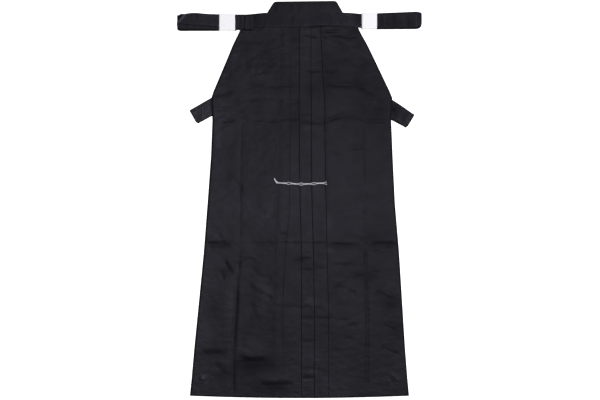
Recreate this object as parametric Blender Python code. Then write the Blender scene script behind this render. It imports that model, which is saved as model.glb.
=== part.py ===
"""Hakama: pleated, divided trousers with a back board and belt straps, laid flat with the front up.

Frame: +X to the viewer's right, +Y from hem to waist, +Z up. The origin is on the floor, under the
middle of the outline. Left and right in names are the wearer's, so the right leg lies at -X.
Sizes are in millimetres and become metres where a mesh is made.

Each sheet of cloth is a wall built through rows of stations. A station is a point on the middle of
the cloth with the direction in which its face looks, so a row can fold back over itself.
"""

import math
from typing import NamedTuple

import bmesh
import bpy
from mathutils import Vector

MM = 0.001

# Cloth and layers
CLOTH = 1.0  # wall of one layer
GAP = 0.3  # between layers that lie on each other, and at seams
LAYER = CLOTH + GAP  # from one layer to the next
TURN = LAYER / 2  # radius of a pressed fold, at the middle of the cloth
FOLD_REACH = TURN + CLOTH / 2  # from a fold's centre to its outer edge
LOFT = 0.8  # how far the front lies above what is under it, so that creases can dip
UP = Vector((0.0, 0.0, 1.0))

# Body
HEM_Y = -529.5
HEM_BOW = 6.0  # how much higher the hem is at its corners than in the middle
HEM_HALF = 292.0
SLIT_Y = 246.0  # bottom of the side slits, below which front and back are sewn together
BACK_INSET = 1.0  # the back panels stay this far inside the front's outline
BACK_TOP_Y = 465.2
BACK_UNDERLAY = 30.0  # cloth folded inwards along the centre back
BACK_CENTRE = (6.0, 13.0)  # x of the centre back half way up and at the top
EDGE_MARGIN = 6.0  # what lies on a panel stays at full height this far past its edge
EDGE_FALL = 28.0  # and comes down over this width

# Pleats
UNDERLAY_SHARE = 0.6  # depth of the cloth under a pleat, as a share of the pleats' spacing
RAMP = 25.0  # over which the side panel climbs on to the pleats
PRESS_WIDTH = 9.0  # half width of the crease pressed down each leg
PRESS_DEPTH = 0.6
OUTER_COLUMNS = (0.0, 0.22, 0.48, 0.74)  # stations from the side seam to that crease, as shares
INNER_COLUMNS = (0.28, 0.62, 1.0)  # and from the crease to the pleats

# Koshiita, the stiff back board
BOARD_BOTTOM = (-106.3, 134.0, 465.5)  # left x, right x, y
BOARD_TOP = (-68.0, 98.0)  # left x, right x
BOARD_TOP_Y = (527.6, 529.5)  # left corner, right corner
BOARD_CORNER = 6.0
BOARD_THICKNESS = 4.0
BOARD_EDGE = 1.0  # rounding of its edges
BOARD_MARGIN = 3.0  # the waistband stays on the board this far past its corners

# Front waistband
BAND_ENDS = (-168.2, 164.7)
BAND_WALL = 2.2
BAND_OVER_PLEATS = 0.5
BAND_END_Z = 1.0
BAND_FALL = 26.0  # over which it falls from the board towards its ends
BAND_EDGE = 0.8  # rounding of its edges
BAND_STEPS = 24

# Straps
REAR_STRAP_WIDTH = 38.0
REAR_STRAP_RETURN = 300.0  # length of the free end, folded back from the tab
REAR_STRAP_CORNER = 5.0
STRAP_MARGIN = 12.0  # what lies on a strap stays at full height this far past its edge
STRAP_FALL = 46.0  # and comes down over this width
STRAP_STEPS = 24
FOLDED_LAYER = 1.6  # one layer of a folded front strap
FOLDED_GROOVE = 1.0  # depth of the groove between two layers' edges
FOLDED_CORNER = 3.5
ROOT_RIGHT = BAND_ENDS[0] - GAP  # where the layers beside the waistband stop
ROOT_LEFT = BAND_ENDS[1] + GAP

# Paper bands
PAPER = 0.8
PAPER_CORNER = 2.6

# Machi, the crotch gusset
MACHI_Y = (-40.0, -340.0)
MACHI_HALF_WIDTH = (30.0, 55.0)


class Edge(NamedTuple):
    """Side edges of the front at one height."""

    y: float
    right: float
    left: float


class Pleats(NamedTuple):
    """Visible fold edges of the pleats at one height, from the right leg to the left."""

    y: float
    right_outer: float
    right_inner: float
    centre: float
    left_inner: float
    left_outer: float


class Waist(NamedTuple):
    """Waistband edges at one place across the front."""

    x: float
    seam: float
    top: float


class Press(NamedTuple):
    """The pressed crease of each leg, as a share of its side panel from the pleats to the seam."""

    y: float
    right: float
    left: float


class Crease(NamedTuple):
    """A soft trough (negative height) or ridge, as a straight line with a round section."""

    x: float
    y: float
    angle: float
    half_length: float
    half_width: float
    height: float


class Strap(NamedTuple):
    """A rear strap's middle line, from the board to its folded end."""

    root: tuple
    tip: tuple


class FoldedLayer(NamedTuple):
    """One layer of a folded front strap: its ends, and its edges at the tip and at the inner end."""

    tip: float
    inner: float
    tip_low: float
    tip_high: float
    inner_low: float
    inner_high: float


class PaperBand(NamedTuple):
    """Where a paper band lies round a folded strap, measured outside."""

    low_x: float
    high_x: float
    low_y: float
    high_y: float


EDGES = (
    Edge(466.0, -155.7, 154.7),
    Edge(449.0, -162.5, 162.8),
    Edge(372.0, -194.0, 200.4),
    Edge(287.0, -229.8, 240.7),
    Edge(270.0, -235.3, 247.6),
    Edge(212.0, -232.4, 244.4),
    Edge(116.0, -236.2, 248.4),
    Edge(-12.0, -245.5, 254.6),
    Edge(-140.0, -255.4, 265.5),
    Edge(-268.0, -267.9, 273.5),
    Edge(-396.0, -280.7, 281.5),
    Edge(-530.0, -292.5, 292.0),
)

PLEATS = (
    Pleats(466.0, -50.0, -22.8, -1.5, 29.6, 56.4),
    Pleats(428.0, -51.0, -22.8, -1.5, 30.0, 57.2),
    Pleats(319.0, -53.0, -22.8, -1.5, 30.0, 62.6),
    Pleats(263.0, -54.0, -22.8, -2.0, 30.3, 66.5),
    Pleats(87.0, -54.8, -24.1, -1.5, 30.6, 67.9),
    Pleats(-39.0, -58.8, -26.8, 1.7, 33.2, 70.5),
    Pleats(-151.0, -65.5, -36.0, 3.9, 36.7, 73.2),
    Pleats(-210.0, -68.5, -41.0, 3.9, 37.0, 73.8),
    Pleats(-290.0, -71.5, -42.8, 4.4, 38.5, 76.7),
    Pleats(-530.0, -79.0, -42.8, 4.4, 38.5, 76.7),
)

WAIST = (
    Waist(-169.0, 454.6, 491.4),
    Waist(-127.0, 457.4, 494.3),
    Waist(-95.0, 458.8, 497.4),
    Waist(0.0, 460.6, 498.6),
    Waist(55.0, 463.8, 498.8),
    Waist(119.0, 462.6, 498.0),
    Waist(140.0, 460.2, 497.0),
    Waist(165.0, 456.4, 494.8),
)

PRESS = (
    Press(466.0, 0.50, 0.50),
    Press(116.0, 0.46, 0.50),
    Press(-529.5, 0.31, 0.37),
)

FRONT_ROWS = (
    446.0, 426.0, 406.0, 386.0, 366.0, 352.0, 343.0, 334.0, 312.0, 290.0, 270.0, 250.0, 232.0,
    220.0, 212.0, 204.0, 176.0, 130.0, 75.0, 20.0, -40.0, -92.0, -108.0, -116.0, -124.0, -150.0,
    -200.0, -255.0, -310.0, -360.0, -390.0, -402.0, -416.0, -429.0, -442.0, -466.0, -487.0, -504.0,
)

CREASES = (
    Crease(3.0, 342.0, 0.0, 100.0, 9.0, -0.5),
    Crease(17.0, 212.0, 0.0, 240.0, 9.0, -0.8),
    Crease(102.0, 220.0, 15.0, 38.0, 9.0, -0.5),
    Crease(-213.0, -117.0, 0.0, 40.0, 9.0, -0.7),
    Crease(10.0, -117.0, 0.0, 190.0, 9.0, -0.5),
    Crease(168.0, -117.0, 0.0, 92.0, 10.0, -0.8),
    Crease(-228.0, -402.0, 2.0, 38.0, 12.0, -0.7),
    Crease(-123.0, -429.0, 2.0, 42.0, 13.0, -0.8),
    Crease(-123.0, -410.0, 2.0, 46.0, 13.0, 1.8),
    Crease(-59.0, -487.0, 0.0, 42.0, 13.0, -0.8),
    Crease(-59.0, -469.0, 0.0, 46.0, 13.0, 1.4),
)

REAR_STRAPS = {
    "right": Strap((123.5, 448.4), (-282.5, 219.6)),
    "left": Strap((-97.8, 448.7), (295.2, 208.3)),
}

FOLDED_STRAPS = {
    "right": (
        FoldedLayer(-322.0, ROOT_RIGHT, 450.0, 490.0, 451.5, 491.5),
        FoldedLayer(-325.0, ROOT_RIGHT, 449.0, 490.0, 451.0, 491.0),
        FoldedLayer(-321.0, ROOT_RIGHT, 448.2, 489.0, 451.0, 491.5),
        FoldedLayer(-326.0, ROOT_RIGHT, 450.0, 491.0, 452.0, 492.0),
        FoldedLayer(-322.0, -121.5, 453.0, 492.5, 458.0, 492.5),
        FoldedLayer(-326.6, -124.0, 455.0, 494.0, 458.0, 492.0),
        FoldedLayer(-318.0, -121.5, 458.0, 495.0, 457.0, 491.5),
    ),
    "left": (
        FoldedLayer(322.0, ROOT_LEFT, 455.5, 496.0, 454.2, 494.0),
        FoldedLayer(325.0, ROOT_LEFT, 455.0, 497.0, 454.2, 495.0),
        FoldedLayer(321.0, ROOT_LEFT, 454.6, 496.5, 454.2, 495.0),
        FoldedLayer(326.0, ROOT_LEFT, 455.5, 498.0, 454.6, 495.5),
        FoldedLayer(323.0, ROOT_LEFT, 456.0, 498.5, 455.0, 495.6),
        FoldedLayer(326.6, ROOT_LEFT, 456.5, 499.5, 455.0, 495.6),
        FoldedLayer(322.0, ROOT_LEFT, 457.0, 500.2, 455.0, 495.4),
    ),
}

PAPER_BANDS = {
    "right": PaperBand(-213.8, -171.6, 448.6, 495.0),
    "left": PaperBand(166.0, 206.0, 452.5, 498.4),
}


def between(table, key, value, column):
    """Read a column of a table at a value of its key column, with straight lines between rows."""
    rows = sorted(table, key=lambda row: getattr(row, key))
    value = min(max(value, getattr(rows[0], key)), getattr(rows[-1], key))
    for low, high in zip(rows, rows[1:]):
        if value <= getattr(high, key):
            share = (value - getattr(low, key)) / (getattr(high, key) - getattr(low, key))
            return getattr(low, column) * (1 - share) + getattr(high, column) * share
    return getattr(rows[-1], column)


def smooth(low, high, value):
    """Rise from 0 at low to 1 at high, level at both ends."""
    share = min(max((value - low) / (high - low), 0.0), 1.0)
    return share * share * (3 - 2 * share)


def mix(a, b, share):
    """The value a share of the way from a to b."""
    return a + (b - a) * share


# What lies under what: heights of the layers


def beside(outside):
    """How much of a layer is left beyond its edge: all of it near by, then falling to none."""
    return 1 - smooth(EDGE_MARGIN, EDGE_MARGIN + EDGE_FALL, outside)


def off_line(x, y, start, end):
    """Distance of a place from a straight line between two points."""
    line = Vector(end) - Vector(start)
    share = (Vector((x, y)) - Vector(start)).dot(line) / line.length_squared
    nearest = Vector(start) + line * min(max(share, 0.0), 1.0)
    return (Vector((x, y)) - nearest).length


def over_strap(x, y, strap):
    """Height that a rear strap adds: its two runs of cloth, falling off beyond its edges."""
    edge = REAR_STRAP_WIDTH / 2 + STRAP_MARGIN
    away = off_line(x, y, strap.root, strap.tip)
    return 2 * LAYER * (1 - smooth(edge, edge + STRAP_FALL, away))


def back_centre(y):
    """Where the two back panels meet."""
    return mix(*BACK_CENTRE, y / BACK_TOP_Y)


def back_side(y, side):
    """Side edge of a back panel: straight from the board's corner to the slit, then the side seam."""
    edge = between(EDGES, "y", min(y, SLIT_Y), side)
    edge -= math.copysign(BACK_INSET, edge)
    corner = BOARD_BOTTOM[0] if side == "right" else BOARD_BOTTOM[1]
    share = min(max((y - SLIT_Y) / (BACK_TOP_Y - SLIT_Y), 0.0), 1.0)
    return mix(edge, corner, share)


def back_height(x, y):
    """Top of the back panels, with a layer's gap: one layer, two near the centre, none outside."""
    side = "left" if x > 0 else "right"
    first = beside(abs(x) - abs(back_side(y, side)))
    second = beside(abs(x - back_centre(y)) - BACK_UNDERLAY)
    return LAYER * (first + second)


def machi_height(x, y):
    """Height that the gusset adds."""
    across = beside(abs(x - back_centre(y)) - MACHI_HALF_WIDTH[1])
    along = beside((MACHI_Y[1] - y) / 2) * beside((y - MACHI_Y[0]) / 2)
    return LAYER * across * along


def front_floor(x, y):
    """Height of everything under the front panels. Over the bare floor they stay one layer up."""
    low = max(back_height(x, y), LAYER)
    straps = sum(over_strap(x, y, strap) for strap in REAR_STRAPS.values())
    return low + straps + machi_height(x, y)


def crease_height(crease, x, y):
    """Height of one crease: round across, fading out towards its ends."""
    angle = math.radians(crease.angle)
    along = (x - crease.x) * math.cos(angle) + (y - crease.y) * math.sin(angle)
    across = (y - crease.y) * math.cos(angle) - (x - crease.x) * math.sin(angle)
    ends = 1 - smooth(0.6, 1.0, abs(along) / crease.half_length)
    return crease.height * ends * math.exp(-((across / crease.half_width) ** 2))


def relief(x, y, pressed):
    """Height of all creases together, never deeper than the loft of the cloth."""
    return max(sum(crease_height(crease, x, y) for crease in CREASES) - pressed, -LOFT)


def front_height(x, y, level, pressed):
    """Middle of the front's cloth, a number of layers up, less the depth of the pressed crease."""
    return front_floor(x, y) + LOFT + relief(x, y, pressed) + level * LAYER + CLOTH / 2


# Meshes


def material(name, colour, roughness):
    """A plain material for one sub-part."""
    made = bpy.data.materials.new(name)
    made.use_nodes = True
    shader = made.node_tree.nodes["Principled BSDF"]
    shader.inputs["Base Color"].default_value = (*colour, 1.0)
    shader.inputs["Roughness"].default_value = roughness
    shader.inputs["Metallic"].default_value = 0.0
    return made


def finished(name, mesh, surface):
    """Turn a bmesh in millimetres into an object in metres, faces out."""
    bmesh.ops.scale(mesh, vec=(MM, MM, MM), verts=mesh.verts)
    bmesh.ops.recalc_face_normals(mesh, faces=mesh.faces)
    data = bpy.data.meshes.new(name)
    mesh.to_mesh(data)
    mesh.free()
    data.materials.append(surface)
    made = bpy.data.objects.new(name, data)
    bpy.context.scene.collection.objects.link(made)
    return made


def two_triangles(mesh, a, b, c, d):
    """Fill a four-sided gap, cut along the diagonal that rises to the right, so layers match."""
    if (c.co.x - a.co.x) * (c.co.y - a.co.y) > 0:
        mesh.faces.new((a, b, c))
        mesh.faces.new((a, c, d))
    else:
        mesh.faces.new((a, b, d))
        mesh.faces.new((b, c, d))


def wall(name, rows, surface):
    """Closed wall of cloth through rows of (point, facing) stations, all rows equally long."""
    mesh = bmesh.new()
    half = CLOTH / 2
    face = [[mesh.verts.new(point + facing * half) for point, facing in row] for row in rows]
    back = [[mesh.verts.new(point - facing * half) for point, facing in row] for row in rows]
    for grid in (face, back):
        for row, following in zip(grid, grid[1:]):
            for i in range(len(row) - 1):
                two_triangles(mesh, row[i], row[i + 1], following[i + 1], following[i])
    for end in (0, -1):
        for i in range(len(rows[0]) - 1):
            two_triangles(mesh, face[end][i], face[end][i + 1], back[end][i + 1], back[end][i])
        for i in range(len(rows) - 1):
            two_triangles(mesh, face[i][end], face[i + 1][end], back[i + 1][end], back[i][end])
    return finished(name, mesh, surface)


def loft(name, rings, surface):
    """Closed solid through rings of equally many points, with a flat cap at each end."""
    mesh = bmesh.new()
    loops = [[mesh.verts.new(point) for point in ring] for ring in rings]
    for low, high in zip(loops, loops[1:]):
        for i in range(len(low)):
            mesh.faces.new((low[i - 1], low[i], high[i], high[i - 1]))
    mesh.faces.new(loops[0])
    mesh.faces.new(loops[-1])
    return finished(name, mesh, surface)


def rounded(corners, radius, steps=2):
    """Outline of a four-sided shape, anticlockwise, with each corner turned into an arc."""
    outline = []
    for i, corner in enumerate(corners):
        before = (Vector(corners[i - 1]) - Vector(corner)).normalized()
        after = (Vector(corners[(i + 1) % 4]) - Vector(corner)).normalized()
        start = Vector(corner) + before * radius
        end = Vector(corner) + after * radius
        for step in range(steps + 1):
            share = step / steps
            straight = start.lerp(end, share)
            bulge = math.sin(share * math.pi) * (1 - math.sqrt(0.5)) * radius * math.sqrt(0.5)
            outline.append(straight + (Vector(corner) - start.lerp(end, 0.5)).normalized() * bulge)
    return outline


def at_height(outline, z):
    """Lift a flat outline to a height."""
    return [Vector((point.x, point.y, z)) for point in outline]


# Front and back panels


def side_stations(start, edge, press):
    """Stations across a side panel, from its seam to where it climbs on to the pleats."""
    crease = mix(start, edge, press)
    flat = (0.0, 1.0)
    stations = [(mix(edge, crease, share), 0.0, flat, 0.0) for share in OUTER_COLUMNS]
    stations.append((crease + PRESS_WIDTH, 0.0, flat, 0.0))
    stations.append((crease, 0.0, flat, PRESS_DEPTH))
    stations.append((crease - PRESS_WIDTH, 0.0, flat, 0.0))
    stations.extend((mix(crease, start, share), 0.0, flat, 0.0) for share in INNER_COLUMNS)
    return stations


def pleat_stations(fold, depth, last):
    """Stations of one pleat: over the fold, back under it, and on below unless it is the last."""
    stations = [
        (fold + depth, 2.0, (0.0, 1.0), 0.0),
        (fold, 2.0, (0.0, 1.0), 0.0),
        (fold - TURN, 1.5, (-1.0, 0.0), 0.0),
        (fold, 1.0, (0.0, -1.0), 0.0),
        (fold + depth, 1.0, (0.0, -1.0), 0.0),
    ]
    if not last:
        stations.append((fold + depth + TURN, 0.5, (-1.0, 0.0), 0.0))
        stations.append((fold + depth, 0.0, (0.0, 1.0), 0.0))
        stations.append((fold, 0.0, (0.0, 1.0), 0.0))
    return stations


def front_stations(row_y, side):
    """One row of a front panel, from its side seam to its inner edge: (x, level, facing, pressed).

    Places are worked out as u, measured from the middle towards the leg's own side.
    """
    sign = -1.0 if side == "right" else 1.0
    edge = sign * between(EDGES, "y", row_y, side)
    centre = between(PLEATS, "y", row_y, "centre")
    left_inner = between(PLEATS, "y", row_y, "left_inner")
    folds = [sign * between(PLEATS, "y", row_y, side + place) + FOLD_REACH for place in ("_outer", "_inner")]
    if side == "left":
        folds.append(centre + FOLD_REACH)
    spacings = [high - low for high, low in zip(folds, folds[1:])]
    spacings.append(spacings[-1])
    depths = [spacing * UNDERLAY_SHARE for spacing in spacings]
    start = folds[0] + depths[0] + RAMP
    stations = side_stations(start, edge, between(PRESS, "y", row_y, side))
    for fold, depth in zip(folds, depths):
        stations += pleat_stations(fold, depth, side == "left" and fold == folds[-1])
    if side == "right":
        under_centre = centre + FOLD_REACH + (left_inner - centre) * UNDERLAY_SHARE
        stations += [(-x, 0.0, (0.0, 1.0), 0.0) for x in (centre, under_centre)]
    return [(sign * u, level, (sign * facing[0], facing[1]), deep) for u, level, facing, deep in stations]


def hem_y(x):
    """The hem, bowed down in the middle."""
    return HEM_Y + HEM_BOW * (x / HEM_HALF) ** 2


def front_panel(side, surface):
    """A leg's front panel with its pleats, draped over what lies under it."""
    rows = []
    for row_y in (BACK_TOP_Y, *FRONT_ROWS, HEM_Y):
        row = []
        for x, level, facing, pressed in front_stations(row_y, side):
            y = row_y
            if row_y == BACK_TOP_Y:
                y = between(WAIST, "x", x, "seam") - GAP
            if row_y == HEM_Y:
                y = hem_y(x)
            z = front_height(x, y, level, pressed)
            row.append((Vector((x, y, z)), Vector((facing[0], 0.0, facing[1]))))
        rows.append(row)
    return wall("front_" + side + "_leg", rows, surface)


def back_panel(side, surface):
    """A leg's back panel, flat on the floor, folded inwards along the centre back."""
    sign = -1.0 if side == "right" else 1.0
    rows = []
    for row_y in (BACK_TOP_Y, 400.0, 325.0, SLIT_Y, *(edge.y for edge in EDGES[5:-1]), HEM_Y):
        fold = back_centre(row_y) + sign * (GAP / 2 + FOLD_REACH)
        edge = back_side(row_y, side)
        row = []
        for x, level, facing in (
            (edge, 0.0, (0.0, 1.0)),
            (mix(edge, fold, 0.33), 0.0, (0.0, 1.0)),
            (mix(edge, fold, 0.66), 0.0, (0.0, 1.0)),
            (fold, 0.0, (0.0, 1.0)),
            (fold - sign * TURN, 0.5, (sign, 0.0)),
            (fold, 1.0, (0.0, -1.0)),
            (fold + sign * BACK_UNDERLAY, 1.0, (0.0, -1.0)),
        ):
            y = hem_y(x) + BACK_INSET if row_y == HEM_Y else row_y
            z = level * LAYER + CLOTH / 2
            row.append((Vector((x, y, z)), Vector((facing[0], 0.0, facing[1]))))
        rows.append(row)
    return wall("back_" + side + "_leg", rows, surface)


def machi(surface):
    """The crotch gusset, flat between the back panels' folds and the front."""
    rows = []
    for y, half in zip(MACHI_Y, MACHI_HALF_WIDTH):
        z = 2 * LAYER + CLOTH / 2
        rows.append([(Vector((back_centre(y) + side * half, y, z)), UP) for side in (-1.0, 0.0, 1.0)])
    return wall("machi", rows, surface)


# Waist


def koshiita(surface):
    """The stiff board: a trapezoid with rounded top corners and softened edges."""
    left, right, bottom = BOARD_BOTTOM
    top_left, top_right = zip(BOARD_TOP, BOARD_TOP_Y)
    corners = [(left, bottom), (right, bottom), top_right, top_left]
    middle = Vector(((left + right) / 2, (bottom + BOARD_TOP_Y[1]) / 2))
    rings = []
    for inset, z in (
        (BOARD_EDGE, 0.0),
        (0.0, BOARD_EDGE),
        (0.0, BOARD_THICKNESS - BOARD_EDGE),
        (BOARD_EDGE, BOARD_THICKNESS),
    ):
        pulled = [pull_in(corner, middle, inset) for corner in corners]
        rings.append(at_height(rounded(pulled, BOARD_CORNER, 3), z))
    return loft("koshiita", rings, surface)


def pull_in(point, middle, inset):
    """Move a point towards the middle, by the same amount along x and y."""
    x, y = point
    return (x + math.copysign(inset, middle.x - x), y + math.copysign(inset, middle.y - y))


def band_bottom(x):
    """Underside of the waistband: on the board, and falling towards its ends."""
    left, right, _ = BOARD_BOTTOM
    outside = max(left - x, x - right) - BOARD_MARGIN
    return mix(BOARD_THICKNESS + GAP, BAND_END_Z, smooth(0.0, BAND_FALL, outside))


def band_top(x):
    """Upper face of the waistband: over the pleats that end in it."""
    right = between(PLEATS, "y", BACK_TOP_Y, "right_outer")
    left = between(PLEATS, "y", BACK_TOP_Y, "left_outer")
    level = 2 * (1 - smooth(RAMP / 2, RAMP * 2, max(right - x, x - left)))
    over = front_floor(x, BACK_TOP_Y) + LOFT + level * LAYER + CLOTH + BAND_OVER_PLEATS
    return max(over, band_bottom(x) + BAND_WALL)


def waistband(surface):
    """The front waist strip, in which the pleats end."""
    rings = []
    for i in range(BAND_STEPS + 1):
        x = mix(*BAND_ENDS, i / BAND_STEPS)
        low = between(WAIST, "x", x, "seam")
        high = between(WAIST, "x", x, "top")
        under = band_bottom(x)
        over = band_top(x)
        section = [(low, under), (high, under), (high, over), (low, over)]
        rings.append([Vector((x, point.x, point.y)) for point in rounded(section, BAND_EDGE, 1)])
    return loft("front_waistband", rings, surface)


# Straps and their paper bands


def rear_strap(side, surface):
    """A rear strap: from the board down to the slit, folded back at its tab, over what lies below."""
    root, tip = (Vector(end) for end in REAR_STRAPS[side])
    length = (tip - root).length
    along = (tip - root) / length
    across = Vector((-along.y, along.x))
    lower = [length * i / STRAP_STEPS for i in range(STRAP_STEPS + 1)]
    upper = [s for s in lower if s >= length - REAR_STRAP_RETURN]
    runs = [(s, 0.0, (0.0, 1.0)) for s in lower]
    runs.append((length, 0.5, (-1.0, 0.0)))
    runs.extend((s, 1.0, (0.0, -1.0)) for s in reversed(upper))
    rows = []
    for share, pulled in ((-1.0, 1.0), (-0.85, 0.25), (-0.4, 0.0), (0.4, 0.0), (0.85, 0.25), (1.0, 1.0)):
        row = []
        for s, level, facing in runs:
            reach = s - REAR_STRAP_CORNER * pulled * smooth(length - 40.0, length, s)
            flat = root + along * (reach + (TURN if level == 0.5 else 0.0) - FOLD_REACH)
            flat += across * share * REAR_STRAP_WIDTH / 2
            z = strap_floor(flat.x, flat.y, side) + level * LAYER + CLOTH / 2
            outwards = Vector((along.x, along.y, 0.0)) * facing[0]
            row.append((Vector((flat.x, flat.y, z)), outwards + UP * facing[1]))
        rows.append(row)
    return wall("himo_rear_" + side, rows, surface)


def strap_floor(x, y, side):
    """What a rear strap lies on: the back panels, and the left one on the right one too."""
    height = back_height(x, y)
    if side == "left":
        height += over_strap(x, y, REAR_STRAPS["right"])
    return height


def folded_strap(side, surface):
    """A front strap folded zig-zag: one solid whose edges show its layers, a little out of line."""
    rings = []
    z = PAPER + GAP
    for layer in FOLDED_STRAPS[side]:
        ends = sorted((
            (layer.tip, layer.tip_low, layer.tip_high),
            (layer.inner, layer.inner_low, layer.inner_high),
        ))
        (x0, low0, high0), (x1, low1, high1) = ends
        corners = [(x0, low0), (x1, low1), (x1, high1), (x0, high0)]
        middle = Vector(((x0 + x1) / 2, (low0 + high0) / 2))
        for inset, share in ((FOLDED_GROOVE, 0.03), (0.0, 0.27), (0.0, 0.73), (FOLDED_GROOVE, 0.97)):
            pulled = [pull_in(corner, middle, inset) for corner in corners]
            rings.append(at_height(rounded(pulled, FOLDED_CORNER), z + share * FOLDED_LAYER))
        z += FOLDED_LAYER
    return loft("himo_front_" + side, rings, surface)


def paper_band(side, surface):
    """A paper band round a folded strap: a thin wall with rounded corners, open at both ends."""
    band = PAPER_BANDS[side]
    top = 2 * (PAPER + GAP) + len(FOLDED_STRAPS[side]) * FOLDED_LAYER
    mesh = bmesh.new()
    loops = []
    for x, inset in ((band.low_x, 0.0), (band.high_x, 0.0), (band.high_x, PAPER), (band.low_x, PAPER)):
        corners = [
            (band.low_y + inset, inset),
            (band.high_y - inset, inset),
            (band.high_y - inset, top - inset),
            (band.low_y + inset, top - inset),
        ]
        outline = rounded(corners, PAPER_CORNER - inset, 3)
        loops.append([mesh.verts.new((x, point.x, point.y)) for point in outline])
    for here, there in zip(loops, loops[1:] + loops[:1]):
        for i in range(len(here)):
            mesh.faces.new((here[i - 1], here[i], there[i], there[i - 1]))
    return finished("paper_band_" + side, mesh, surface)


def main():
    """Clear the scene and build the garment."""
    for item in list(bpy.data.objects):
        bpy.data.objects.remove(item)
    cloth = material("black cloth", (0.018, 0.017, 0.022), 0.85)
    lining = material("black cloth, inside", (0.016, 0.015, 0.020), 0.88)
    strap = material("black strap", (0.020, 0.019, 0.024), 0.85)
    paper = material("white paper", (0.92, 0.92, 0.93), 0.6)
    for side in ("right", "left"):
        front_panel(side, cloth)
        back_panel(side, lining)
        rear_strap(side, strap)
        folded_strap(side, strap)
        paper_band(side, paper)
    machi(lining)
    koshiita(cloth)
    waistband(cloth)


main()
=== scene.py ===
"""Looks of the hakama: cloth with its pleats and creases, folded straps, paper bands and sewing.

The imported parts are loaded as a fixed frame. Every piece here lies where its part lies. Sizes are in
millimetres and become metres where a mesh is made. Left and right are the wearer's, so the right leg
lies at -X. +Y runs from the hem to the waist, and +Z up from the surface that the garment lies on.
"""

import logging
import math
from dataclasses import dataclass, field
from enum import Enum
from typing import Callable, NamedTuple, Sequence

import bmesh
import bpy
import numpy as np
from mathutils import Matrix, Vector, noise
from mathutils.bvhtree import BVHTree


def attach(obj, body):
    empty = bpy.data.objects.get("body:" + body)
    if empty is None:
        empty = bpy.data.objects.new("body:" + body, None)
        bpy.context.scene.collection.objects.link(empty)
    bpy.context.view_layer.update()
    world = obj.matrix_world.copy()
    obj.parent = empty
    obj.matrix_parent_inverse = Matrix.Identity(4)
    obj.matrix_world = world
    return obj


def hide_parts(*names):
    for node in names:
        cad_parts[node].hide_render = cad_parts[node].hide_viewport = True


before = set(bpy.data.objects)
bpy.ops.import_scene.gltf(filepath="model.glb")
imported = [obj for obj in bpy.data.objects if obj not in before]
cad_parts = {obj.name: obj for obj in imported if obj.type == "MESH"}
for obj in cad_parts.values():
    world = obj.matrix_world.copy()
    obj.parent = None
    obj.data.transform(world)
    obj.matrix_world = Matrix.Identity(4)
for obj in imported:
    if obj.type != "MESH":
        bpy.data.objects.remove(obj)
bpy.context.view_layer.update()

LOG = logging.getLogger("hakama")

MM = 0.001

# Cloth and layers: true cloth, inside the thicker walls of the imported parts
WALL = 0.36
GAP = 0.18
LAYER = WALL + GAP
TURN = LAYER / 2
FOLD_REACH = TURN + WALL / 2
LOFT = 2.2  # room for the front's creases to dip
DEPTH = 1.45  # how deep the front's creases lie, against their table
EDGE_MARGIN = 6.0  # what lies on a layer stays at full height this far past the layer's edge
EDGE_FALL = 64.0  # and comes down over this width

# Legs
HEM_Y = -529.5
HEM_BOW = 6.0  # how much higher the hem is at its corners than in the middle
HEM_HALF = 292.0
HEM_REACH = 60.0  # above the hem, the rows of cloth straighten out over this height
WAIST_REACH = 60.0  # and so they do below the waist
SLIT_Y = 246.0  # bottom of the side slits
TOP_Y = 465.2
BACK_INSET = 1.0
BACK_UNDERLAY = 30.0  # cloth folded inwards along the centre back
BACK_CENTRE = (6.0, 13.0)  # x of the centre back half way up and at the top
MACHI_Y = (-40.0, -340.0)
MACHI_HALF = (30.0, 55.0)

# Pleats
UNDERLAY_SHARE = 0.55  # depth of the cloth under a pleat, as a share of the pleats' spacing
PLEAT_LAYER = 0.38  # the pleats are pressed hard
PRESSED_FLAT = 0.97  # how flat a pleat's layers lie away from its fold
RAMP = 48.0  # over which the side panel climbs on to the pleats
SIDE_RISE = 150.0  # how far beside the pleats the cloth starts to rise to them
QUICK_CLIMB = 4.5  # how soon the cloth beside a fold is up again
SPRING_REACH = 5.0  # how far from its edge a fold stands off
HIGHLIGHT_REACH = 1.3  # how far from its edge a fold is painted lighter, as a highlight

# Koshiita, the stiff back board
BOARD_BOTTOM = (-106.3, 134.0, 465.5)  # left x, right x, y
BOARD_TOP = (-68.0, 98.0)  # left x, right x
BOARD_TOP_Y = (527.6, 529.5)  # left corner, right corner
BOARD_CORNER = 6.0
BOARD_THICKNESS = 4.0
BOARD_MARGIN = 3.0  # the waistband stays on the board this far past its corners

# Front waistband
BAND_ENDS = (-168.2, 164.7)
BAND_WALL = 1.4
BAND_EDGE = 0.16  # thickness of its upper edge, where it lies on the board
BAND_THICKENS = 16.0  # over which that edge gets its full thickness beside the board
BAND_END_Z = 1.0
BAND_FALL = 26.0  # over which it falls from the board towards its ends
BAND_RAMP = (12.0, RAMP + 20.0)  # where, beside the pleats, it comes down from them
BAND_STAND = (0.12, 0.7)  # how far its seam stands over the cloth on the right and on the left
BAND_STAND_X = (-30.0, 12.0)  # where the one becomes the other
WAIST_RISE = 1.0  # how much higher the front lies where it goes into the waistband
BUNDLE_RISE = 0.2  # share of that rise beside the right strap's bundle
BUNDLE_X = (-126.0, -82.0)  # where the rise becomes full

# Straps
STRAP_MARGIN = 12.0  # what lies on a strap stays at full height this far past its edge
STRAP_FALL = 80.0  # and comes down over this width
REAR_WIDTH = 38.0  # width over which a rear strap lifts what lies on it
REAR_RETURN = 300.0  # length of a rear strap's free end, folded back from the tab
FOLDED_LAYER = 1.6  # one layer of a folded front strap
PAPER = 0.8  # room for a paper band round it

# Sewing
THREAD_SPAN = 6  # steps over which the basting thread is pulled straight

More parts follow.
